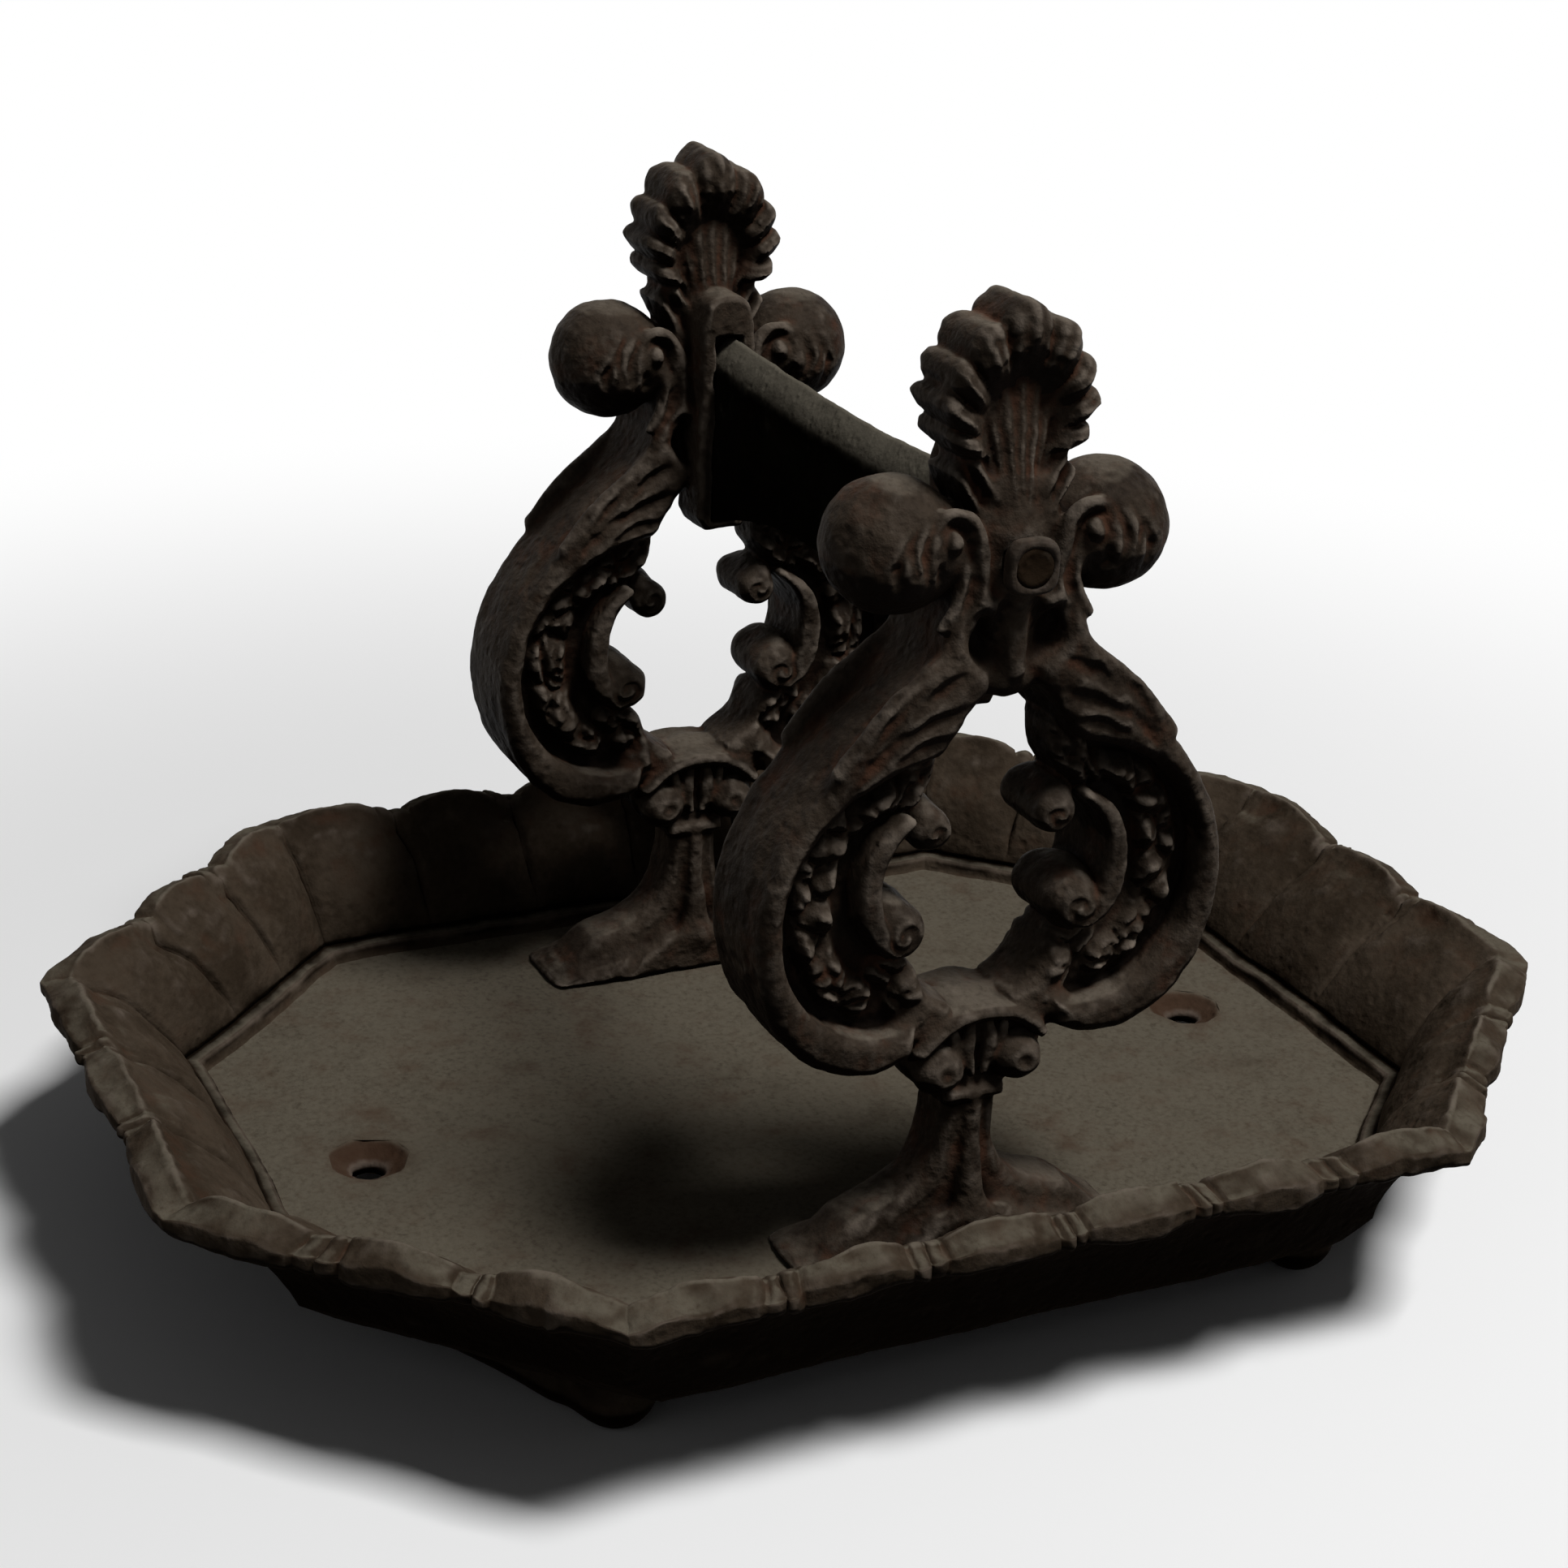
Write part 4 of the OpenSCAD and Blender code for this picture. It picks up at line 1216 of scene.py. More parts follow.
    def cap(self) -> None:
        """Presses in the domed cap over the stem, the bowl under it, and its knobs and leaf strands."""
        clay = self.clay
        half = self.cap_half_depth
        bowl = np.vstack([
            smooth_path([(20, 63), (19.8, 57), (17.8, 51.5), (13.4, 47.4), (8, 45)]), [(-22, 45), (-22, 63)],
        ])
        clay.slab(clay.outline(bowl), -8.0, 8.0, edge=2.5)
        clay.ball((0, 0, 62.5), (8.5, 17, 8.5), blend=2.0)
        dome = np.vstack([
            smooth_path([(19.2, 60.8), (15.0, 65.4), (8.4, 69.2), (0, 70.4), (-8.4, 69.2)]),
            smooth_path([(-8.4, 65.4), (0, 66.4), (8, 65.2), (13.6, 61.6), (17.0, 58.4)]),
        ])
        clay.slab(clay.outline(dome), -half, half, edge=2.2, blend=2.4)
        joint = clay.outline([(11, 67), (23, 61), (25, 69), (18, 77), (9, 71)])
        clay.slab(joint, -11.5, 11.5, edge=3.0, blend=3.0)
        for face in FACES:
            clay.ball((face * 8.6, 11.2, 54.2), (6.8, 6.6, 6.6), blend=0.5)
            clay.ball((face * 15.6, 10.8, 54.8), (1.6, 2.4, 2.4), blend=1.0, cut=True)
            for strand, thick in (
                ([(2.4, 65.5), (3.4, 59), (1.8, 51)], 2.2), ([(7.5, 63.5), (6.0, 58), (4.0, 53.5)], 1.5),
            ):
                clay.rod(self.on_face(face * 9.4, strand), (1.2, thick, 1.0), blend=0.6)

    def stem(self) -> None:
        """Presses in the stem with its collar, its rib and the slits beside the rib."""
        clay = self.clay
        trunk = np.vstack([
            smooth_path([(8.0, 48), (7.4, 41), (7.8, 33), (9.4, 26), (13, 20), (19, 16.2), (27, 13.4)]),
            smooth_path([(32, 11.6), (36, 8.2), (40, 4.2), (44, 1.6)]),
            [(45, 1), (45, 0), (-20, 0), (-20, 48)],
        ])
        clay.slab(clay.outline(trunk), -9.0, 9.0, edge=3.6, blend=2.0)
        collar = clay.outline([(-20, 43.5), (8.2, 43.5), (8.2, 47.0), (-20, 47.0)])
        clay.slab(collar, -10.6, 10.6, edge=1.6)
        for face in FACES:
            rib = [(face * 8.2, 0, 44), (face * 8.6, 0, 30), (face * 10.4, 0, 12)]
            clay.rod(smooth_path(rib), (2.4, 3.0, 4.4), blend=0.6)
            slit = [(face * 10.4, 3.6, 42.5), (face * 10.6, 4.8, 28), (face * 12.0, 7.4, 12)]
            clay.rod(smooth_path(slit), (1.4, 2.2, 2.0), blend=0.6, cut=True)

    def foot(self) -> None:
        """Presses in the low spreading foot that stands on the tray."""
        clay = self.clay
        skirt = np.vstack([
            smooth_path([(-8, 12.5), (8, 12.5), (15, 8.4), (25, 5.6), (35, 3.4), (41, 2), (45, 0.8)]),
            [(45, 0), (-20, 0), (-20, 12.5)],
        ])
        clay.slab(clay.outline(skirt), -14.5, 14.5, edge=2.5, blend=5.0)
        for face in FACES:
            for start, stop in (((17, 16), (23, 4)), ((29, 11), (34, 3))):
                middle = (face * 13.0, (start[0] + stop[0]) / 2, 7)
                vein = smooth_path([(face * 10.0, *start), middle, (face * 15.4, *stop)])
                clay.rod(vein, (0.6, 1.4, 1.0), blend=1.6, cut=True)

    def seats(self) -> None:
        """Adds the lug that holds the blade, and cuts the seats of the blade and the bolts."""
        clay = self.clay
        half = self.lug_half
        dome = smooth_path([(half, 203), (half * 0.72, 209), (0, 211), (-half, 210)])
        lug = np.vstack([dome, [(-half, 143)], [(half - 2, 143)], [(half, 147)]])
        clay.slab(clay.outline(lug), -self.lug_face, -6.0, edge=1.8, blend=2.0)
        seat = clay.outline([(-9, 145.5), (self.blade_half, 145.5), (self.blade_half, 199.5), (-9, 199.5)])
        clay.slab(seat, -self.lug_face - 4, -self.lug_face + 6.2, edge=0.2, blend=0.1, cut=True)
        bore = [(-self.lug_face - 4, 0, self.tenon_z), (self.lug_face + 4, 0, self.tenon_z)]
        clay.rod(bore, (self.tenon_r, self.tenon_r), blend=0.1, cut=True)
        hole = [(0, self.bolt_y, -8), (0, self.bolt_y, self.bolt_in - self.bolt_r)]
        clay.rod(hole, (self.bolt_r, self.bolt_r), blend=0.1, cut=True)

    def shell_reach(self, angle: np.ndarray) -> np.ndarray:
        """Finds how far the tips of the shell's lobes reach.

        Args:
            angle: Angle from the Y axis, in degrees.

        Returns:
            Distance from the foot of the fan.
        """
        return np.interp(angle, (-12.0, 5.0, 27.0, 46.0, 66.0, 90.0), (16.0, 18.0, 22.8, 26.2, 30.4, 34.4))


@dataclass
class Tray:
    """The footed octagonal tray. Sizes are in millimetres, Z up from the tray floor.

    Attributes:
        node: Node that the tray stands for.
        lobe_rise: How far a lobe swells out past the notches.
        lobe_drop: How far the crest drops from the middle of a lobe to a notch.
        corner_cut: Length cut off each side at the corners.
        lobes: Lobes on the long, corner and short sides.
        steps: Columns of faces across one lobe.
        rim_height: Height of the rim.
        wall_run: Width of the flared wall.
        end_draw: How much wider the wall is at the two ends.
        wall_bulge: How far the wall bows in.
        ledge_w: Width of the ledge round the floor.
        ledge_h: Height of the ledge.
        floor_t: Thickness of the floor.
        hole_y: Distance of a fixing hole from the middle.
        hole_r: Radius of a fixing hole.
        sink_r: Radius of its countersink.
        foot_place: Place of a foot in X and Y.
        foot_h: Height of a foot.
        bead_w: Width of a bead beside a notch.
        bead_out: How far a bead stands out.
        bead_up: How far a bead stands up.
        crowding: How far the columns of faces crowd to the ends of a lobe.
        wall_shift: How far the bow of the wall lies inside the notches.
        wall_share: Share of that bow that the petals take, below the rim.
        wall_rows: Rows of faces up the wall.
        end_line: Heights, and how far the outer wall of the ends is drawn in at each.
        corner_line: The same for the outer wall of the corner sides.
        sink_edge: Width of the worn edge round a countersink.
        hole_steps: Columns of faces round a hole.
        floor_mesh: Distance between points of the floor.
        under_mesh: Distance between points of the underside.
        half_x: Half size of the octagon of the notches along X.
        half_y: Half size of the octagon of the notches along Y.
        columns: What lay_columns finds for each column of faces.
    """

    node: str = "tray"
    lobe_rise: float = 4.0
    lobe_drop: float = 4.4
    corner_cut: float = 82.0
    lobes: tuple[int, int, int] = (6, 3, 3)
    steps: int = 44
    rim_height: float = 39.5
    wall_run: float = 25.0
    end_draw: float = 9.0
    wall_bulge: float = 5.0
    ledge_w: float = 6.0
    ledge_h: float = 4.0
    floor_t: float = 7.0
    hole_y: float = 128.0
    hole_r: float = 4.5
    sink_r: float = 10.5
    foot_place: tuple[float, float] = (103.0, 101.0)
    foot_h: float = 15.0
    bead_w: float = 4.4
    bead_out: float = 2.8
    bead_up: float = 1.5
    crowding: float = 0.65
    wall_shift: float = 1.6
    wall_share: float = 0.76
    wall_rows: int = 25
    end_line: Points = ((-5.8, -3.2, 0.2, 3.0, 16.0, 28.0), (19.5, 16.0, 11.5, 9.0, 5.5, 0.0))
    corner_line: Points = ((-5.8, -3.2, 0.2, 3.0), (6.4, 4.5, 2.0, 0.0))
    sink_edge: float = 1.2
    hole_steps: int = 48
    floor_mesh: float = 4.0
    under_mesh: float = 9.0
    half_x: float = field(init=False)
    half_y: float = field(init=False)
    columns: dict[str, np.ndarray] = field(init=False, repr=False)

    def __post_init__(self) -> None:
        """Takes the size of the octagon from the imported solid, and lays out the columns."""
        _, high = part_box(self.node)
        self.half_x = high[0] / MM - self.lobe_rise
        self.half_y = high[1] / MM - self.lobe_rise
        self.columns = self.lay_columns()

    def build(self, material: Material) -> Piece:
        """Builds the tray with its feet and dresses it.

        Args:
            material: Iron of the tray.

        Returns:
            The finished piece.
        """
        low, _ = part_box(self.node)
        points, faces = self.basin()
        foot_points, foot_faces = self.feet()
        faces += (foot_faces + len(points)).tolist()
        points = np.vstack([points, foot_points])
        keep = np.maximum(ramp(points[:, 2], 0.6, 2.2), ramp(-points[:, 2], 0.9, 2.0))
        stain = np.zeros(len(points))
        for side in (-1, 1):
            away = np.hypot(points[:, 0], points[:, 1] - side * self.hole_y)
            stain = np.maximum(stain, 0.6 * (1 - ramp(away, self.sink_r - 2.0, self.sink_r + 2.5)))
        points = points + [0, 0, low[2] / MM + self.foot_h + self.floor_t]
        points[:, 2] = np.maximum(points[:, 2], low[2] / MM)
        piece = make_piece("tray_casting", points, faces)
        mark_relief(piece, Relief(fine_rounds=12, fine_full=1.5, broad_rounds=130, broad_full=3.0), keep)
        paint(piece, "stain", stain)
        dress(piece, self.node, material)
        return piece

    def lay_columns(self) -> dict[str, np.ndarray]:
        """Lays out the columns of faces round the rim, closest together at the ends of the lobes.

        Returns:
            For each column its side, its share of the way along the side, its distance from the end of
            its lobe, the half length of the lobe, whether that end is a corner, its share of the way
            across the lobe, and the number of its nearest notch.
        """
        rows = []
        slant = self.corner_cut * math.sqrt(2)
        lengths = [2 * (self.half_y - self.corner_cut), slant, 2 * (self.half_x - self.corner_cut), slant]
        counts = [self.lobes[kind] for kind in (0, 1, 2, 1)]
        for number in range(8):
            count = counts[number % 4]
            pitch = lengths[number % 4] / count
            for lobe in range(count):
                for step in range(self.steps):
                    w = step / self.steps
                    w -= self.crowding * math.sin(2 * math.pi * w) / (2 * math.pi)
                    corner = (lobe == 0 and w < 0.5) or (lobe == count - 1 and w >= 0.5)
                    notch = 10 * number + lobe + (w >= 0.5)
                    rows.append(
                        (number, (lobe + w) / count, min(w, 1 - w) * pitch, pitch / 2, corner, w, notch)
                    )
        names = ("side", "along", "away", "half", "corner", "across", "notch")
        columns = dict(zip(names, np.array(rows, dtype=float).T))
        columns["side"] = columns["side"].astype(int)
        columns["corner"] = columns["corner"] > 0.5
        return columns

    def swells(self) -> tuple[np.ndarray, np.ndarray, np.ndarray]:
        """Finds how the rim swells along the lobes, unevenly from notch to notch.

        Returns:
            For each column the swell outwards, upwards and of the beads, from 0 to about 1.
        """
        columns = self.columns
        away, half, corner = columns["away"], columns["half"], columns["corner"]
        uneven = np.sin(5.3 * columns["notch"] + 1.7)
        width = self.bead_w * (1 + 0.3 * uneven)
        reach = np.clip((away - width) / (half - width), 0.0, 1.0)
        past = ramp(away, width - 0.5, width + 0.9)
        crown = 1 - (1 - reach) ** 2.2
        outward = 0.15 + past * (0.35 + 0.5 * crown)
        upward = past * (0.35 + 0.65 * crown)
        number = columns["notch"] - (columns["across"] >= 0.5)
        tilt = (columns["across"] - 0.5) * np.sin(4.1 * number + 0.6)
        upward = upward + 0.3 * past * tilt
        outward = outward * (1 - 0.12 * (1 + np.sin(7.7 * number)) * past)
        share = 1 - away / half
        outward = np.where(corner, 1 - 0.25 * share ** 3, outward)
        upward = np.where(corner, 1 - 0.75 * share ** 2.4, upward)
        offset = np.clip((away - width / 2) / (width / 2), -1.0, 1.0)
        left = columns["across"] < 0.5
        full = np.where(left == (uneven > 0), 1.0, 0.6)
        bead = np.where(corner, 0.0, full * np.sqrt(1 - offset * offset))
        return outward, upward, bead

    def petals(self, climb: float) -> np.ndarray:
        """Finds the relief of the overlapping petals on the inner wall at one height.

        Args:
            climb: Share of the way up the wall.

        Returns:
            How far each column stands out of the plain wall, in millimetres.
        """
        columns = self.columns
        away, corner = columns["away"], columns["corner"]
        belly = 1 - (1 - np.clip(away / columns["half"], 0.0, 1.0)) ** 2
        crease = np.exp(-(away / np.where(corner, 1.3, 0.9)) ** 2)
        lap = (columns["across"] - 0.5) * (1.2 + 0.5 * np.sin(3.1 * columns["side"]))
        fade = float(ramp(np.array(climb), 0.0, 0.4))
        return fade * (1.6 * belly + lap - np.where(corner, 0.9, 1.4) * crease - 0.8)

    def ring(self, inset: np.ndarray, ends: float = 0.0, corners: float = 0.0) -> np.ndarray:
        """Finds the plan of one ring round the octagon.

        Args:
            inset: Distance of each column inside the octagon of the notches.
            ends: How far the two ends are drawn in besides.
            corners: How far the corner sides are drawn in besides.

        Returns:
            X and Y of each column.
        """
        slant = (self.half_x + self.half_y - self.corner_cut) / math.sqrt(2)
        reach = np.array([self.half_x, slant - corners, self.half_y - ends, slant - corners] * 2)
        angle = np.radians(45.0 * np.arange(8))
        normal = np.column_stack([np.cos(angle), np.sin(angle)])
        side = self.columns["side"]
        tips = []
        for other in ((side - 1) % 8, (side + 1) % 8):
            one, two = normal[side], normal[other]
            far_one, far_two = reach[side] - inset, reach[other] - inset
            cross = one[:, 0] * two[:, 1] - one[:, 1] * two[:, 0]
            x = (far_one * two[:, 1] - far_two * one[:, 1]) / cross
            y = (far_two * one[:, 0] - far_one * two[:, 0]) / cross
            tips.append(np.column_stack([x, y]))
        return tips[0] + (tips[1] - tips[0]) * self.columns["along"][:, None]

    def wall_rings(self, upward: np.ndarray) -> list[np.ndarray]:
        """Builds the ledge and the petals of the inner wall.

        Args:
            upward: Swell of the rim upwards.

        Returns:
            The rings from the floor up to the crest.
        """
        rings = []
        foot = self.wall_run
        ledge = (
            (0.9, -0.3), (0.5, -0.2), (0.1, 0.8), (-0.2, 2.2), (-0.7, 3.1), (-1.6, 3.5), (-3.2, 3.7),
            (-4.8, 3.9),
        )
        for inset, z in ledge:
            plan = self.ring(np.full(len(upward), foot + self.ledge_w + inset), self.end_draw)
            rings.append(np.column_stack([plan, np.full(len(upward), z)]))
        rise = self.rim_height - self.ledge_h
        chord = math.hypot(self.wall_run, rise)
        radius = (chord * chord / 4 + self.wall_bulge ** 2) / (2 * self.wall_bulge)
        middle_u = foot / 2 + self.wall_shift - (radius - self.wall_bulge) * rise / chord
        middle_z = self.ledge_h + rise / 2 - (radius - self.wall_bulge) * self.wall_run / chord
        start = math.atan2(self.ledge_h - middle_z, foot + self.wall_shift - middle_u)
        stop = math.atan2(self.rim_height - middle_z, self.wall_shift - middle_u)
        for number in range(self.wall_rows + 1):
            climb = number / self.wall_rows
            angle = start + (stop - start) * self.wall_share * climb
            relief = self.petals(climb)
            inset = middle_u + radius * math.cos(angle) + relief * math.cos(angle)
            z = middle_z + radius * math.sin(angle) + relief * math.sin(angle)
            drop = 0.5 * self.lobe_drop * (1 - upward) * climb ** 3
            plan = self.ring(inset, self.end_draw * (1 - climb))
            rings.append(np.column_stack([plan, z - drop]))
        return rings

    def rim_rings(self, swells: tuple) -> list[np.ndarray]:
        """Builds the lobed rim, the outer wall and the bottom edge.

        Args:
            swells: Swell of the rim outwards, upwards and at the beads.

        Returns:
            The rings from the crest to the underside.
        """
        outward, upward, bead = swells
        rim = (
            (7.2, 36.2, 0.1, 0.5, 0.1), (6.2, 37.5, 0.15, 0.7, 0.2), (5.4, 38.5, 0.2, 0.9, 0.3),
            (4.7, 39.1, 0.25, 1.0, 0.4), (4.0, 39.2, 0.3, 1.0, 0.5), (3.2, 38.9, 0.4, 1.0, 0.6),
            (1.8, 38.3, 0.5, 1.0, 0.7), (0.2, 37.6, 0.65, 0.9, 0.8), (-1.4, 36.9, 0.8, 0.8, 0.9),
            (-2.7, 36.2, 0.95, 0.7, 1.0), (-3.5, 35.7, 1.0, 0.6, 1.0), (-3.9, 35.3, 1.0, 0.5, 1.0),
            (-4.0, 34.7, 1.0, 0.4, 1.0), (-4.0, 33.5, 1.0, 0.2, 1.0), (-4.0, 32.3, 1.0, 0.1, 1.0),
            (-4.0, 31.2, 1.0, 0.0, 0.9), (-3.8, 30.2, 1.0, 0.0, 0.8), (-3.2, 29.5, 1.0, 0.0, 0.6),
            (-2.0, 29.1, 1.0, 0.0, 0.4), (0.0, 28.8, 0.8, 0.0, 0.2), (2.6, 28.4, 0.5, 0.0, 0.1),
            (5.4, 27.4, 0.3, 0.0, 0.0), (8.2, 25.9, 0.1, 0.0, 0.0),
        )
        wall = (
            (10.8, 23.4), (13.6, 19.8), (15.8, 16.0), (17.6, 12.0), (19.2, 7.0), (20.1, 3.0), (21.0, 0.2),
            (22.2, -3.2), (24.0, -5.8), (26.0, -6.8), (28.0, -7.0),
        )
        rings = []
        for inset, z, out, high, knob in (*rim, *((*place, 0.0, 0.0, 0.0) for place in wall)):
            ends = float(np.interp(z, *self.end_line))
            corners = float(np.interp(z, *self.corner_line))
            swell = inset + self.lobe_rise * out * (1 - outward) - self.bead_out * knob * bead
            height = z - self.lobe_drop * high * (1 - upward) + self.bead_up * high * bead
            rings.append(np.column_stack([self.ring(swell, ends, corners), height]))
        return rings

    def basin(self) -> tuple[np.ndarray, list[list[int]]]:
        """Builds the walls and rim as rings, and closes them with the floor.

        Returns:
            Vertices in millimetres and the faces.
        """
        swells = self.swells()
        rings = self.wall_rings(swells[1]) + self.rim_rings(swells)
        across = len(self.columns["side"])
        points = np.vstack(rings)
        lumps = ramp(points[:, 2], 16.0, 30.0)[:, None]
        points = points + wobble(points, 30.0, 0.8, 5) + wobble(points, 11.0, 0.4, 6) * (1 + 2.6 * lumps)
        points = points + wobble(points, 3.2, 0.2, 7) * (1 + lumps)
        limit = np.array([self.half_x + self.lobe_rise, self.half_y + self.lobe_rise, self.rim_height])
        points = np.clip(points, [-limit[0], -limit[1], -self.floor_t], limit)
        faces = []
        for ring in range(len(rings) - 1):
            faces += band((ring + 1) * across, ring * across, across)
        return self.close(points, faces, across)

    def hole_rings(self, sizes: Points) -> list[np.ndarray]:
        """Makes the ragged rings of both fixing holes.

        Args:
            sizes: Radius of each ring and its depth below the floor.

        Returns:
            The rings of the first hole and then of the second.
        """
        rings = []
        for hole, y in enumerate((-self.hole_y, self.hole_y)):
            for radius, drop in sizes:
                ring = []
                for step in range(self.hole_steps):
                    angle = 2 * math.pi * step / self.hole_steps
                    cos, sin = math.cos(angle), math.sin(angle)
                    rag = noise.noise(Vector((2.2 * cos, 2.2 * sin, 3.0 * hole + 0.4 * drop)))
                    size = radius * (1 + 0.1 * rag)
                    ring.append((size * cos, y + size * sin, -drop))
                rings.append(np.array(ring))
        return rings

    def close(self, points: np.ndarray, faces: list, across: int) -> tuple:
        """Fills the floor between the walls and the fixing holes, above and below.

        Args:
            points: Vertices of the walls.
            faces: Faces of the walls.
            across: Columns round the rim.

        Returns:
            All vertices and faces of the basin.
        """
        last = len(points) - across
        sizes = (
            (self.sink_r + self.sink_edge, 0.0), (self.sink_r, 0.3), (self.sink_r - 0.8, 0.9), (8.2, 2.0),
            (6.4, 3.0), (5.2, 3.6), (self.hole_r, 4.4), (self.hole_r, self.floor_t),
        )
        rings = self.hole_rings(sizes)
        start = len(points)
        points = np.vstack([points, *rings])
        steps = len(rings[0])
        for hole in range(2):
            for level in range(len(sizes) - 1):
                low = start + (hole * len(sizes) + level) * steps
                faces += band(low, low + steps, steps)
        for border, level, up in ((0, 0, True), (last, len(sizes) - 1, False)):
            loops = [list(range(border, border + across))]
            for hole in range(2):
                first = start + (hole * len(sizes) + level) * steps
                loops.append(list(range(first, first + steps)))
            points, faces = self.fill(points, faces, loops, up)
        return points, faces

    def fill(self, points: np.ndarray, faces: list, loops: list[list[int]], up: bool) -> tuple:
        """Fills a flat region that has holes with even triangles.

        Args:
            points: All vertices so far.
            faces: All faces so far.
            loops: The outer border, then the borders of the holes, as vertex numbers.
            up: True if the faces look up.

        Returns:
            The vertices and faces with the filling.
        """
        spacing = self.floor_mesh if up else self.under_mesh
        clear_r = self.sink_r + self.sink_edge if up else self.hole_r
        known = [i for loop in loops for i in loop]
        flat = [Vector(points[i][:2]) for i in known]
        edges, first = [], 0
        for loop in loops:
            size = len(loop)
            edges += [(first + i, first + (i + 1) % size) for i in range(size)]
            first += size
        border = points[loops[0]]
        level = border[:, 2].mean()
        reach_x, reach_y = np.abs(border[:, 0]).max(), np.abs(border[:, 1]).max()
        slant = np.abs(border[:, 0] + border[:, 1]).max()
        for row, y in enumerate(np.arange(-reach_y + spacing, reach_y - 1, spacing)):
            for x in np.arange(-reach_x + spacing * (0.7 + 0.5 * (row % 2)), reach_x - 2, spacing):
                gap = math.hypot(x, abs(y) - self.hole_y)
                if abs(x) + abs(y) < slant - 4 and gap > clear_r + 1.5:
                    flat.append(Vector((x, y)))
        outer = [list(range(len(loops[0])))]
        verts, _, triangles, sources = delaunay_2d_cdt(flat, edges, outer, 1, 1e-5)[:4]
        number, extra = {}, []
        for i, origin in enumerate(sources):
            fixed = [o for o in origin if o < len(known)]
            if fixed:
                number[i] = known[fixed[0]]
            else:
                number[i] = len(points) + len(extra)
                extra.append((verts[i].x, verts[i].y, level))
        extra = np.array(extra)
        if up:
            extra[:, 2] = 0.6 * wobble(extra, 42.0, 1.0, 11)[:, 2] + wobble(extra, 12.0, 0.3, 12)[:, 2]
        points = np.vstack([points, extra])
        for triangle in triangles:
            middle = sum((verts[i] for i in triangle), Vector((0, 0))) / 3
            if math.hypot(middle.x, abs(middle.y) - self.hole_y) > clear_r * 0.88:
                ring = [number[i] for i in triangle]
                faces.append(ring if up else ring[::-1])
        return points, faces

    def feet(self) -> tuple[np.ndarray, np.ndarray]:
        """Sculpts a foot with a swept flank and sets it at the four corners.

        Returns:
            Vertices in millimetres and the quads of the four feet.
        """
        bottom, tip = -self.floor_t, -self.floor_t - self.foot_h
        clay = Clay((-22, 0, tip - 2), (62, 24, 4), step=1.0)
        clay.rod([(-2, 0, bottom + 3), (-3, 0, bottom - 5), (-3, 0, tip + 7)], (12.0, 10.5, 7.5), blend=3.0)
        sweep = smooth_path([
            (-3, 0, tip + 9), (10, 0, bottom - 4), (22, 0, bottom), (40, 0, bottom + 3), (54, 0, 0),
        ])
        clay.rod(sweep, (7.0, 8.5, 8.5, 7.0, 4.0), blend=4.0)
        clay.trim((-20, -1, tip), (60, 22, -3.0))
        points, quads = clay.skin(rounds=2)
        all_points, all_quads = [], []
        for turn_x in (1, -1):
            for turn_y in (1, -1):
                away = np.array([-turn_x, turn_y]) / math.sqrt(2)
                side = np.array([-away[1], away[0]])
                plan = points[:, :1] * away + points[:, 1:2] * side
                plan += [turn_x * self.foot_place[0], turn_y * self.foot_place[1]]
                all_quads.append(quads + len(points) * len(all_points))
                all_points.append(np.column_stack([plan, points[:, 2]]))
        return np.vstack(all_points), np.concatenate(all_quads)


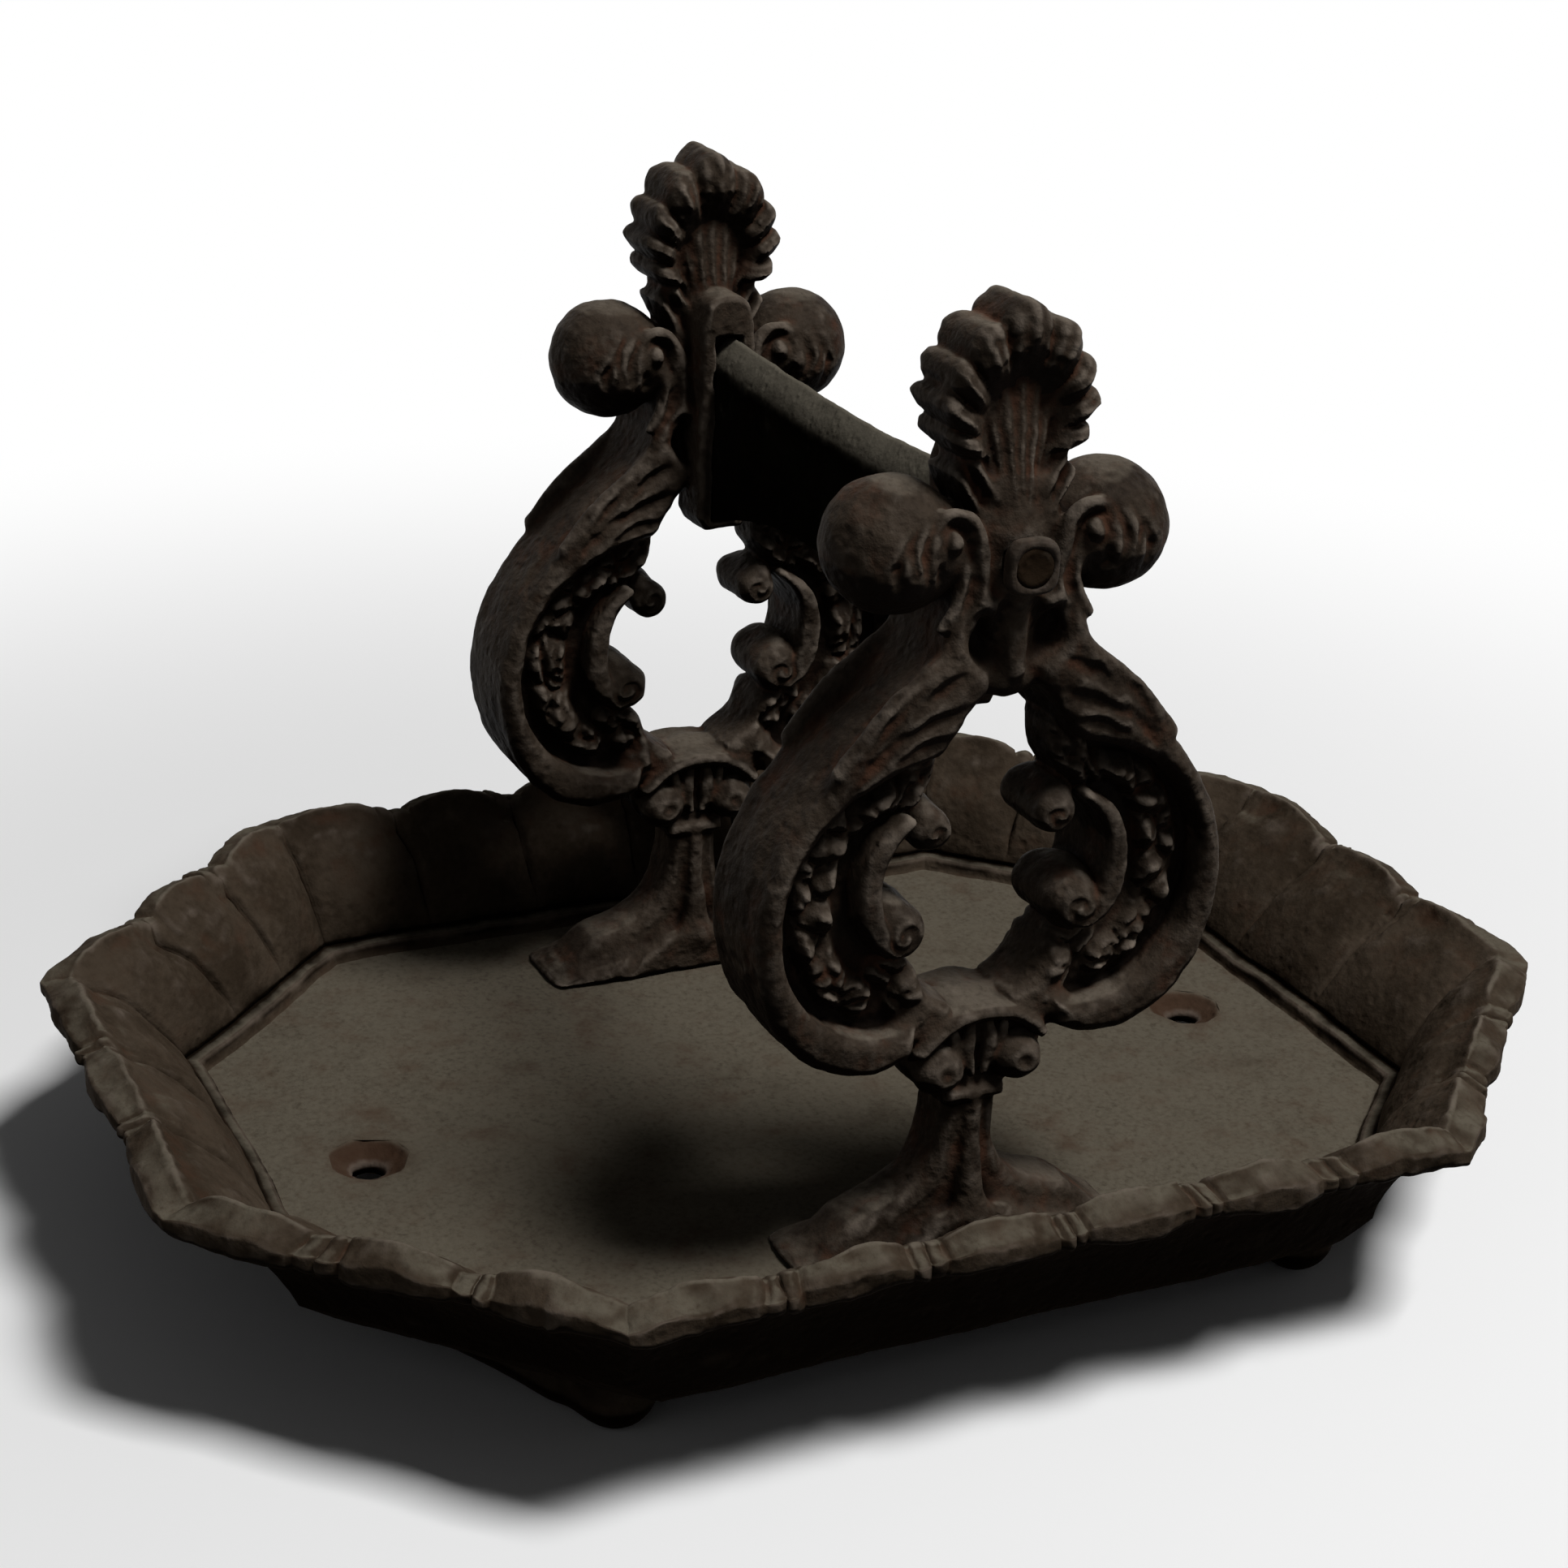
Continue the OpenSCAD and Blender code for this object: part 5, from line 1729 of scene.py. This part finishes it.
@dataclass
class Blade:
    """The scraping blade. Sizes are in millimetres, Z up from the tray floor.

    Attributes:
        node: Node that the blade stands for.
        floor_z: Height of the tray floor above the ground.
        thick: Thickness of the blade.
        low_z: Height of its lower edge at the ends.
        arch: Rise of the lower edge in the middle.
        top_z: Height of the top edge in the middle.
        dip: How far the worn top edge sags.
        free_half: Half length between the lugs.
        bevel: Height of the broad bevel.
        back_bevel: Height of the bevel behind it.
        edge: Thickness of the worn edge.
        lean: How far the edge lies from the middle.
        tenon_z: Height of the tenons.
        tenon_r: Radius of the tenons.
        seat_in: How far the plate runs into the lugs' seats.
        stations: Sections along the plate.
        wear_h: Height of the worn part below the top edge.
    """

    node: str = "scraper_blade"
    floor_z: float = 22.0
    thick: float = 8.0
    low_z: float = 146.0
    arch: float = 12.0
    top_z: float = 196.5
    dip: float = 1.8
    free_half: float = 66.0
    bevel: float = 9.0
    back_bevel: float = 3.0
    edge: float = 1.6
    lean: float = 2.0
    tenon_z: float = 187.0
    tenon_r: float = 5.0
    seat_in: float = 5.6
    stations: int = 150
    wear_h: float = 12.0

    def build(self, material: Material) -> Piece:
        """Builds the blade with its tenons and dresses it.

        Args:
            material: Iron of the blade.

        Returns:
            The finished piece.
        """
        _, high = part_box(self.node)
        half = self.free_half + self.seat_in
        rings = []
        for x in np.linspace(-half, half, self.stations):
            near = min(abs(x) / self.free_half, 1.0)
            top = self.top_z + self.dip * near ** 2
            bottom = self.low_z + self.arch * (1 - near ** 2)
            rings.append([(x, y, z) for y, z in self.section(bottom, top)])
        across = len(rings[0])
        points = np.array(rings).reshape(-1, 3)
        worn = np.clip((points[:, 2] - self.top_z + self.wear_h) / self.wear_h, 0.15, 1.0)[:, None]
        points = points + worn * (wobble(points, 16.0, 0.5, 21) + wobble(points, 4.0, 0.25, 22))
        points[:, 1] = np.clip(points[:, 1], -self.thick / 2, self.thick / 2)
        faces = []
        for ring in range(self.stations - 1):
            faces += band((ring + 1) * across, ring * across, across)
        last = (self.stations - 1) * across
        faces.append(list(range(across)))
        faces.append(list(range(last, last + across))[::-1])
        for end in (-1, 1):
            points, faces = self.tenon(points, faces, end, half - 0.5, high[0] / MM)
        points = points + [0, 0, self.floor_z]
        piece = make_piece("blade_plate", points, faces)
        away = np.abs(points[:, 0])
        plate = ramp(half + 1 - away, 0.0, 0.5)
        mark_relief(piece, Relief(fine_rounds=8, fine_full=0.3, broad_rounds=30, broad_full=2.0), plate)
        # The top bevel is marked as a ridge, so that it takes the bright worn colour: scraped wear together
        # with a painted highlight.
        crest = self.top_z + self.dip * np.clip(away / self.free_half, 0.0, 1.0) ** 2
        scraped_and_highlight = ramp(points[:, 2] - self.floor_z - crest, -self.bevel, 3.0 - self.bevel)
        paint(piece, "relief", 0.9 * plate * scraped_and_highlight)
        paint(piece, "stain", 0.35 * ramp(away, half, half + 1.0))
        dress(piece, self.node, material)
        return piece

    def section(self, bottom: float, top: float) -> list[tuple[float, float]]:
        """Lists the outline of the blade's section, counter-clockwise in Y and Z.

        Args:
            bottom: Height of the lower edge.
            top: Height of the top edge.

        Returns:
            Points in Y and Z.
        """
        side, crest = self.thick / 2, self.edge / 2
        halves = []
        for sign, bevel in ((1, self.back_bevel), (-1, self.bevel)):
            half = [(side - 1.2, bottom), (side - 0.3, bottom + 0.4), (side, bottom + 1.4)]
            half += [(side, bottom + (top - bevel - bottom) * t) for t in (0.2, 0.4, 0.6, 0.8, 0.97)]
            rim = crest + sign * self.lean
            for number in range(1, 9):
                t = number / 8
                bow = 0.8 * math.sin(math.pi * t)
                y = side + (rim - side) * t + 0.8 * bow
                half.append((y, top - 0.98 * bevel * (1 - t) + 0.5 * bow - 0.7 * t))
            halves.append([(sign * y, z) for y, z in half])
        return halves[0] + [(self.lean, top)] + halves[1][::-1]

    def tenon(self, points: np.ndarray, faces: list, end: int, start: float, stop: float) -> tuple:
        """Adds a round tenon with a rounded end.

        Args:
            points: Vertices so far.
            faces: Faces so far.
            end: 1 or -1 for the direction along X.
            start: Where the tenon starts.
            stop: Where it ends.

        Returns:
            The vertices and faces with the tenon.
        """
        steps = 28
        first = len(points)
        sizes = ((start, 1.0), (stop - 0.5, 1.02), (stop - 0.2, 0.96), (stop - 0.2, 0.7), (stop - 0.6, 0.4))
        added = []
        for x, share in sizes:
            for step in range(steps):
                angle = 2 * math.pi * step / steps
                size = self.tenon_r * share
                added.append((end * x, size * math.cos(angle), self.tenon_z + size * math.sin(angle)))
        for level in range(len(sizes) - 1):
            low = first + level * steps
            quads = band(low, low + steps, steps)
            faces += quads if end > 0 else [quad[::-1] for quad in quads]
        cap = list(range(first + (len(sizes) - 1) * steps, first + len(sizes) * steps))
        faces.append(cap if end > 0 else cap[::-1])
        return np.vstack([points, np.array(added)]), faces


@dataclass
class BladeNuts:
    """The two square nuts on the blade's tenons. Sizes are in millimetres.

    Attributes:
        node: Node that the nuts stand for.
        bore_r: Radius of the bore.
        edge: Radius of the worn edges.
        thick: Thickness of a nut.
        squareness: How square the rounded outline is. At 2 it is a circle.
    """

    node: str = "blade_nuts"
    bore_r: float = 4.9
    edge: float = 3.6
    thick: float = 7.0
    squareness: float = 3.2

    def build(self, material: Material) -> Piece:
        """Sculpts both nuts as one piece and dresses it.

        Args:
            material: Iron of the fixings.

        Returns:
            The finished piece.
        """
        low, high = (np.array(corner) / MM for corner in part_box(self.node))
        half = (high[1] - low[1]) / 2
        middle_z = (low[2] + high[2]) / 2
        clay = Clay((high[0] - 9.0, 0, -half - 1), (high[0] + 1.5, half + 1, half + 1), step=0.4)
        border = []
        for step in range(40):
            cos, sin = math.cos(math.radians(9 * step)), math.sin(math.radians(9 * step))
            size = abs(cos) ** self.squareness + abs(sin) ** self.squareness
            reach = half / size ** (1 / self.squareness)
            border.append((reach * cos, reach * sin))
        clay.slab(clay.outline(border), high[0] - self.thick, high[0], self.edge)
        clay.ball((high[0] + 3.5, 0, 0), (6.0, 9.5, 9.5), blend=1.0, cut=True)
        bore = [(high[0] - 12, 0, 0), (high[0] + 4, 0, 0)]
        clay.rod(bore, (self.bore_r, self.bore_r), blend=0.4, cut=True)
        points, quads = clay.skin(rounds=3)
        points = points + wobble(points, 6.0, 0.35, 31)
        points = np.clip(points, [high[0] - self.thick, -half, -half], [high[0], half, half])
        both = np.vstack([points, points * [-1, -1, 1]]) + [0, 0, middle_z]
        faces = np.concatenate([quads, quads + len(points)])
        piece = make_piece("blade_nut_pair", both, faces.tolist())
        mark_relief(piece, Relief(fine_rounds=10, fine_full=0.5, broad_rounds=40, broad_full=1.5))
        dress(piece, self.node, material)
        return piece


@dataclass
class BaseFixings:
    """The bolts and washers under the tray, which keep their solids' shapes."""

    nodes: tuple[str, str] = ("base_bolts", "base_washers")

    def dress(self, material: Material) -> None:
        """Gives the bolts and washers their material.

        Args:
            material: Iron of the fixings.
        """
        for node in self.nodes:
            solid = bpy.data.objects[node]
            for slot in solid.material_slots:
                slot.material = material
            if not solid.material_slots:
                solid.data.materials.append(material)
            log.info("%s keeps its solid", node)


@dataclass
class Studio:
    """The pale floor, the soft lights and the camera.

    Attributes:
        floor_size: Length of the floor in metres.
        eye: Place of the camera in metres.
        azimuth: Direction of the camera round the object, in degrees.
        tilt: How far it looks down, in degrees.
        roll: How far it is turned about its view, in degrees.
        lens: Focal length in millimetres.
        film: Width of the camera's frame in millimetres.
        clear_from: Distance from the middle at which the floor starts to fade to white.
        clear_to: Distance at which it is white.
        bounce: How bright the floor is in the light that it throws back.
        room_light: How bright the room is in the light that it throws.
    """

    floor_size: float = 16.0
    eye: tuple[float, float, float] = (0.6583, -0.3301, 0.4191)
    azimuth: float = 64.04
    tilt: float = 22.61
    roll: float = 2.59
    lens: float = 67.08
    film: float = 36.0
    clear_from: float = 0.22
    clear_to: float = 0.75
    bounce: float = 0.15
    room_light: float = 0.045

    def build(self) -> None:
        """Sets up the floor, the light and the camera."""
        self.floor()
        self.world()
        self.lamp("key_light", Vector((0.75, 0.58, 2.1)), size=0.6, power=50.0)
        self.lamp("fill_light", Vector((1.2, -1.6, 1.3)), size=1.2, power=0.5)
        self.camera()
        bpy.context.scene.view_settings.view_transform = "Standard"
        log.info("studio set")

    def floor(self) -> None:
        """Lays the floor, which is white to the eye away from the object."""
        half = self.floor_size / 2
        mesh = bpy.data.meshes.new("studio_floor")
        corners = [(-half, -half, 0), (half, -half, 0), (half, half, 0), (-half, half, 0)]
        mesh.from_pydata(corners, [], [(0, 1, 2, 3)])
        floor = add_object("studio_floor", mesh)
        material = bpy.data.materials.new("studio_paper")
        sheet = fresh_sheet(material)
        where = sheet.add("ShaderNodeTexCoord").outputs["Object"]
        away = sheet.add("ShaderNodeVectorMath", {0: where}, operation="LENGTH").outputs["Value"]
        seen = sheet.seen()
        share = sheet.math("MULTIPLY", sheet.fade(away, self.clear_from, self.clear_to), seen)
        grain = sheet.cloud(where, 60.0, 3.0)
        paper = sheet.blend(sheet.math("MULTIPLY", grain, 0.06), (0.9, 0.9, 0.9), (0.82, 0.82, 0.81))
        paper = sheet.blend(seen, (self.bounce,) * 3, paper)
        plain = sheet.add("ShaderNodeBsdfPrincipled", {"Base Color": paper, "Roughness": 0.9})
        plain.inputs["Specular IOR Level"].default_value = 0.1
        white = sheet.add("ShaderNodeEmission", {"Color": (1, 1, 1, 1), "Strength": 1.0})
        mix = sheet.add("ShaderNodeMixShader", {0: share, 1: plain.outputs[0], 2: white.outputs[0]})
        sheet.add("ShaderNodeOutputMaterial", {0: mix.outputs[0]})
        mesh.materials.append(material)

    def world(self) -> None:
        """Lights the room softly and keeps it white to the eye."""
        world = bpy.data.worlds.new("studio_room")
        sheet = fresh_sheet(world)
        strength = sheet.math("MULTIPLY_ADD", sheet.seen(), 1 - self.room_light, self.room_light)
        back = sheet.add("ShaderNodeBackground", {"Color": (1, 1, 1, 1), "Strength": strength})
        sheet.add("ShaderNodeOutputWorld", {0: back.outputs[0]})
        bpy.context.scene.world = world

    def lamp(self, name: str, place: Vector, size: float, power: float) -> None:
        """Hangs a square soft lamp that looks at the object.

        Args:
            name: Name of the lamp.
            place: Its place in metres.
            size: Length of its side in metres.
            power: Its power in watts.
        """
        light = bpy.data.lights.new(name, "AREA")
        light.size = size
        light.energy = power
        lamp = add_object(name, light)
        lamp.location = place
        aim = Vector((0, 0, 0.1)) - place
        lamp.rotation_euler = aim.to_track_quat("-Z", "Y").to_euler()

    def camera(self) -> None:
        """Sets the camera at the photograph's viewing angle."""
        turn, fall, lean = (math.radians(a) for a in (self.azimuth, self.tilt, self.roll))
        back = Vector((math.sin(turn) * math.cos(fall), -math.cos(turn) * math.cos(fall), math.sin(fall)))
        right = Vector((math.cos(turn), math.sin(turn), 0))
        up = back.cross(right)
        across = math.cos(lean) * right + math.sin(lean) * up
        upward = math.cos(lean) * up - math.sin(lean) * right
        data = bpy.data.cameras.new("photo_camera")
        data.lens = self.lens
        data.sensor_width = self.film
        camera = add_object("photo_camera", data)
        turned = Matrix((across, upward, back)).transposed().to_4x4()
        camera.matrix_world = Matrix.Translation(self.eye) @ turned
        bpy.context.scene.camera = camera


def main() -> None:
    """Builds every piece, dresses it and sets up the studio."""
    logging.basicConfig(level=logging.INFO, format="%(name)s %(message)s")
    noise.seed_set(CAST_SEED)
    Studio().build()
    shop = IronShop()
    shop.build_effects()
    Tray().build(shop.iron(TRAY_FINISH))
    support_iron = shop.iron(SUPPORT_FINISH)
    Support("front_support", Side.FRONT, seed=1).build(support_iron)
    Support("rear_support", Side.REAR, seed=2).build(support_iron)
    Blade().build(shop.iron(BLADE_FINISH))
    fixing_iron = shop.iron(FIXING_FINISH)
    BladeNuts().build(fixing_iron)
    BaseFixings().dress(fixing_iron)


if __name__ == "__main__":
    main()
